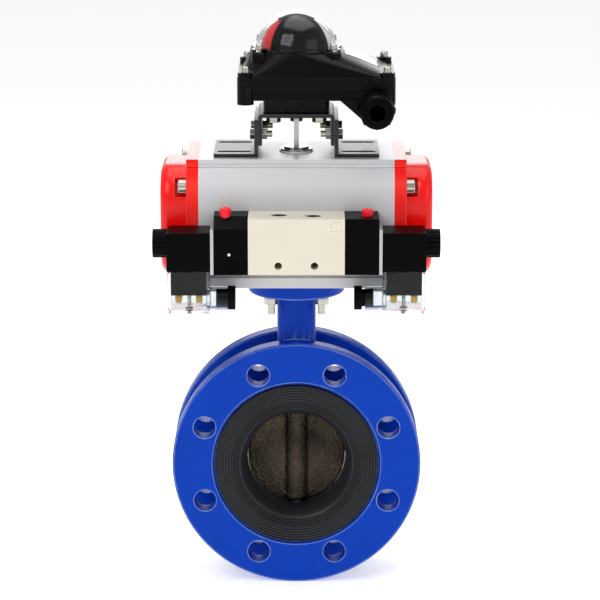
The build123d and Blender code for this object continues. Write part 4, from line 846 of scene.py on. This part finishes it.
@dataclass
class CoverScrews:
    """The screws of the switch box's lid and of its dome, each on a plain washer.

    Attributes:
        shop: The workshop.
        washer_mm: Thickness of the washer.
        head_tall: Height of the head with its washer, as a share of the washer's radius.
        shank: Radius of the shank, as the same share.
        recess: Reach, half width and depth of the cross recess, as the same share.
    """

    shop: Workshop
    washer_mm: float = 0.8
    head_tall: float = 1.2
    shank: float = 0.45
    recess: tuple[float, float, float] = (0.55, 0.13, 0.6)

    def screw(self, low: Vector, high: Vector) -> bmesh.types.BMesh:
        """Makes one pan-head screw.

        Args:
            low: The lowest corner of the CAD screw.
            high: Its highest corner.

        Returns:
            The screw with its recess.
        """
        middle = Vector(((low.x + high.x) / 2, (low.y + high.y) / 2, high.z))
        head = (high.x - low.x) / 2 / MM
        tall = head * self.head_tall
        shank = head * self.shank
        bottom = (high.z - low.z) / MM
        outline = [(0, 0), (head * 0.5, 0), (head * 0.78, -0.15 * tall), (head * 0.88, -0.4 * tall),
                   (head * 0.88, self.washer_mm - tall), (head, self.washer_mm - tall), (head, -tall),
                   (shank, -tall), (shank, -bottom), (0, -bottom)]
        blank = spun(outline, middle, UP, 32, closed=False)
        reach, half, deep = (head * share * MM for share in self.recess)
        # One arm is a hair shallower, so the two floors never share a plane.
        for half_x, half_y, depth in ((reach, half, deep), (half, reach, deep * 0.98)):
            arm = block(middle - Vector((half_x, half_y, depth)), middle + Vector((half_x, half_y, MM)))
            blank = carved(blank, arm)
        return blank

    def build(self) -> None:
        """Makes every screw where the CAD has one."""
        screws = [self.screw(low, high) for low, high in self.shop.solids_of("cover_screws")]
        self.shop.piece("cover_screws_cross_recess", joined(screws), ZINC, "cover_screws", stands_for=True)


@dataclass
class PortThreads:
    """The threads cut into each air port.

    Attributes:
        shop: The workshop.
        pitch_mm: Thread pitch of a quarter-inch pipe port.
        height_mm: Height of the thread's crest.
    """

    shop: Workshop
    pitch_mm: float = 1.337
    height_mm: float = 0.6

    def threads(self, mount: dict[str, Any]) -> bmesh.types.BMesh:
        """Makes the thread of one port as a run of rings.

        Args:
            mount: The port's mount from the record.

        Returns:
            A thin sleeve with a threaded inside.
        """
        wall = mount["dims"]["r_mm"] - 0.02
        half = mount["dims"]["length_mm"] / 2 - 0.3
        turns = int(2 * half / self.pitch_mm)
        inside = []
        for turn in range(turns):
            start = -half + turn * self.pitch_mm
            inside += [(wall - 0.15, start), (wall - self.height_mm, start + self.pitch_mm / 2)]
        outline = [(wall, half), (wall, -half)] + inside + [(wall - 0.15, half)]
        return spun(outline, Vector(mount["pos_m"]), Vector(mount["axis"]), 48)

    def build(self) -> None:
        """Threads every port that the record lists."""
        ports = [mount for mount in self.shop.frame["record"]["mounts"] if mount["kind"] == "threaded_hole"]
        sleeves = joined([self.threads(mount) for mount in ports])
        # The threads' dark colour is painted shade inside each port.
        self.shop.piece("port_threads", sleeves, PORT_THREAD_PAINTED_DARK, "solenoid_body")


@dataclass
class PlugContents:
    """What shows through each clear plug housing: brass clamps with slotted screws under the insert.

    Attributes:
        shop: The workshop.
        clamp_mm: Half sizes of one clamp, in millimetres.
        places_mm: Where the clamps hang, from the middle of the insert.
    """

    shop: Workshop
    clamp_mm: tuple[float, float, float] = (2.6, 2.6, 3.0)
    places_mm: tuple[tuple[float, float], ...] = ((-8.0, -6.5), (8.0, -6.5), (-8.0, 6.5))
    screw_r_mm: float = 1.9

    def clamp(self, middle: Vector) -> tuple[bmesh.types.BMesh, bmesh.types.BMesh]:
        """Makes one clamp and its screw.

        Args:
            middle: The top of the clamp, in metres.

        Returns:
            The brass block and the screw below it.
        """
        half_x, half_y, half_z = (size * MM for size in self.clamp_mm)
        low = middle - Vector((half_x, half_y, 2 * half_z))
        brass = block(low, middle + Vector((half_x, half_y, 0)), 0.4)
        seat = Vector((middle.x, middle.y, low.z))
        radius = self.screw_r_mm
        head = spun([(0, 0.6), (radius, 0.6), (radius, -0.9), (radius * 0.8, -1.3), (0, -1.3)], seat, UP, 24,
                    closed=False)
        slot = block(seat - Vector((0.3 * MM, 2 * radius * MM, 2.0 * MM)),
                     seat + Vector((0.3 * MM, 2 * radius * MM, -0.6 * MM)))
        return brass, carved(head, slot)

    def build(self) -> None:
        """Hangs the clamps under both inserts."""
        clamps, heads = [], []
        for low, high in self.shop.solids_of("terminal_inserts"):
            for x, y in self.places_mm:
                top = Vector(((low.x + high.x) / 2 + x * MM, (low.y + high.y) / 2 + y * MM, low.z))
                brass, head = self.clamp(top)
                clamps.append(brass)
                heads.append(head)
        self.shop.piece("terminal_clamps", joined(clamps), BRASS, "terminal_inserts")
        self.shop.piece("terminal_screws", joined(heads), ZINC, "terminal_inserts")


@dataclass
class RatingPlate:
    """The blank foil plate that lies on the lid's long slope.

    Attributes:
        shop: The workshop.
        x_mm: Where it starts and ends across.
        y_mm: Where it starts and ends along the flow.
        foil_mm: Its thickness.
        cells: How many cells it has each way, to follow the lid.
    """

    shop: Workshop
    x_mm: tuple[float, float] = (38.0, 65.0)
    y_mm: tuple[float, float] = (14.0, 50.0)
    foil_mm: float = 0.35
    cells: int = 12

    def build(self) -> None:
        """Lays the foil on the lid and gives it its thickness."""
        lid = self.shop.copy_of("box_lid")
        surface = BVHTree.FromBMesh(lid)
        lid.free()
        shape = bmesh.new()
        bmesh.ops.create_grid(shape, x_segments=self.cells, y_segments=self.cells, size=0.5)
        (x0, x1), (y0, y1) = self.x_mm, self.y_mm
        bmesh.ops.scale(shape, vec=Vector((x1 - x0, y1 - y0, 1)) * MM, verts=shape.verts)
        middle = Vector(((x0 + x1) / 2 * MM, (y0 + y1) / 2 * MM, 1.0))
        bmesh.ops.translate(shape, vec=middle, verts=shape.verts)
        for vert in shape.verts:
            hit = surface.ray_cast(vert.co, -UP)[0]
            vert.co = hit + UP * self.foil_mm * MM
        bmesh.ops.recalc_face_normals(shape, faces=shape.faces)
        plate = self.shop.piece("blank_rating_plate", shape, LABEL_FOIL, "box_lid")
        thick = plate.modifiers.new("foil", "SOLIDIFY")
        thick.thickness = self.foil_mm * MM * 1.2
        thick.offset = -1.0


@dataclass(frozen=True)
class Lamp:
    """One soft square light.

    Attributes:
        name: The light's name.
        place: Where it hangs, in metres.
        size: Its side, in metres.
        power: Its power, in watts.
    """

    name: str
    place: tuple[float, float, float]
    size: float
    power: float


LAMPS = (Lamp("key_light", (-0.9, -1.3, 1.5), 1.2, 15.0), Lamp("fill_light", (1.3, -1.1, 0.8), 1.2, 4.0),
         Lamp("top_light", (0.1, 0.2, 1.7), 1.4, 12.0), Lamp("back_light", (0.0, 1.7, 0.8), 1.0, 7.0))


@dataclass
class Studio:
    """The floor, the soft lights and the camera.

    Attributes:
        low_z: The height that the object stands on.
        camera_place: Where the camera stands, in metres.
        tilt_deg: How far the camera looks down.
        lens_mm: Its focal length.
        floor_glow: A little light of the floor's own, which keeps it white.
        sky_strength: The light that comes from all round.
        floor_half: Half the side of the floor, in metres.
        aim_z: The height that the lights are aimed at, in metres.
    """

    low_z: float
    camera_place: tuple[float, float, float] = (0.00282, -2.00685, 0.62175)
    tilt_deg: float = 13.6
    lens_mm: float = 156.0
    floor_glow: float = 0.45
    sky_strength: float = 0.5
    floor_half: float = 6.0
    aim_z: float = 0.13

    def floor(self) -> None:
        """Lays a plain pale floor that isn't part of the object."""
        shape = bmesh.new()
        bmesh.ops.create_grid(shape, x_segments=1, y_segments=1, size=self.floor_half,
                              matrix=Matrix.Translation((0, 0, self.low_z)))
        mesh = bpy.data.meshes.new("studio_floor")
        shape.to_mesh(mesh)
        shape.free()
        thing = bpy.data.objects.new("studio_floor", mesh)
        bpy.context.scene.collection.objects.link(thing)
        pale = bpy.data.materials.new("pale_paper")
        pale.use_nodes = True
        shader = pale.node_tree.nodes["Principled BSDF"]
        shader.inputs["Base Color"].default_value = linear("#f6f6f6")
        shader.inputs["Roughness"].default_value = 0.9
        shader.inputs["Emission Color"].default_value = (1, 1, 1, 1)
        shader.inputs["Emission Strength"].default_value = self.floor_glow
        mesh.materials.append(pale)
        thing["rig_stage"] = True

    def light(self, lamp: Lamp) -> None:
        """Hangs one light, aimed at the middle of the object.

        Args:
            lamp: What kind it is and where it hangs.
        """
        glow = bpy.data.lights.new(lamp.name, "AREA")
        glow.size = lamp.size
        glow.energy = lamp.power
        thing = bpy.data.objects.new(lamp.name, glow)
        thing.location = lamp.place
        aim = Vector((0, STEM_Y, self.aim_z)) - Vector(lamp.place)
        thing.rotation_euler = aim.to_track_quat("-Z", "Y").to_euler()
        bpy.context.scene.collection.objects.link(thing)

    def build(self) -> None:
        """Sets the floor, the lights, the sky and the camera."""
        self.floor()
        for lamp in LAMPS:
            self.light(lamp)
        sky = bpy.data.worlds.new("studio")
        sky.use_nodes = True
        glow = sky.node_tree.nodes["Background"]
        glow.inputs["Color"].default_value = (1, 1, 1, 1)
        glow.inputs["Strength"].default_value = self.sky_strength
        bpy.context.scene.world = sky
        bpy.context.scene.view_settings.view_transform = "Standard"
        lens = bpy.data.cameras.new("camera")
        lens.sensor_width = 36.0
        lens.lens = self.lens_mm
        camera = bpy.data.objects.new("camera", lens)
        camera.location = self.camera_place
        camera.rotation_euler = (math.radians(90 - self.tilt_deg), 0, 0)
        bpy.context.scene.collection.objects.link(camera)
        bpy.context.scene.camera = camera
        LOG.info("studio is set")


def plain_box(bounds: Any) -> list[list[float]]:
    """A box's corners as plain lists of numbers."""
    return [[float(value) for value in corner] for corner in bounds]


def main() -> None:
    """Builds the scene in order and reports each piece."""
    logging.basicConfig(level=logging.INFO, format="%(name)s: %(message)s")
    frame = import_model()
    cad_box = plain_box(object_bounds())
    shop = Workshop(frame)
    Studio(low_z=cad_box[0][2]).build()
    face = SolenoidFace(shop)
    remade = frozenset({"seat_liner", "valve_disc", "cover_screws"})
    cutters = {"solenoid_body": face.pad_groove(), "pilot_block_left": [face.lamp_seat()]}
    Dressing(shop, remade, cutters).build()
    for assembly in (face, RubberLiner(shop), CastDisc(shop), CoverScrews(shop), PortThreads(shop),
                     PlugContents(shop), RatingPlate(shop)):
        assembly.build()
        LOG.info("%s is fitted", type(assembly).__name__)


if __name__ == "__main__":
    main()
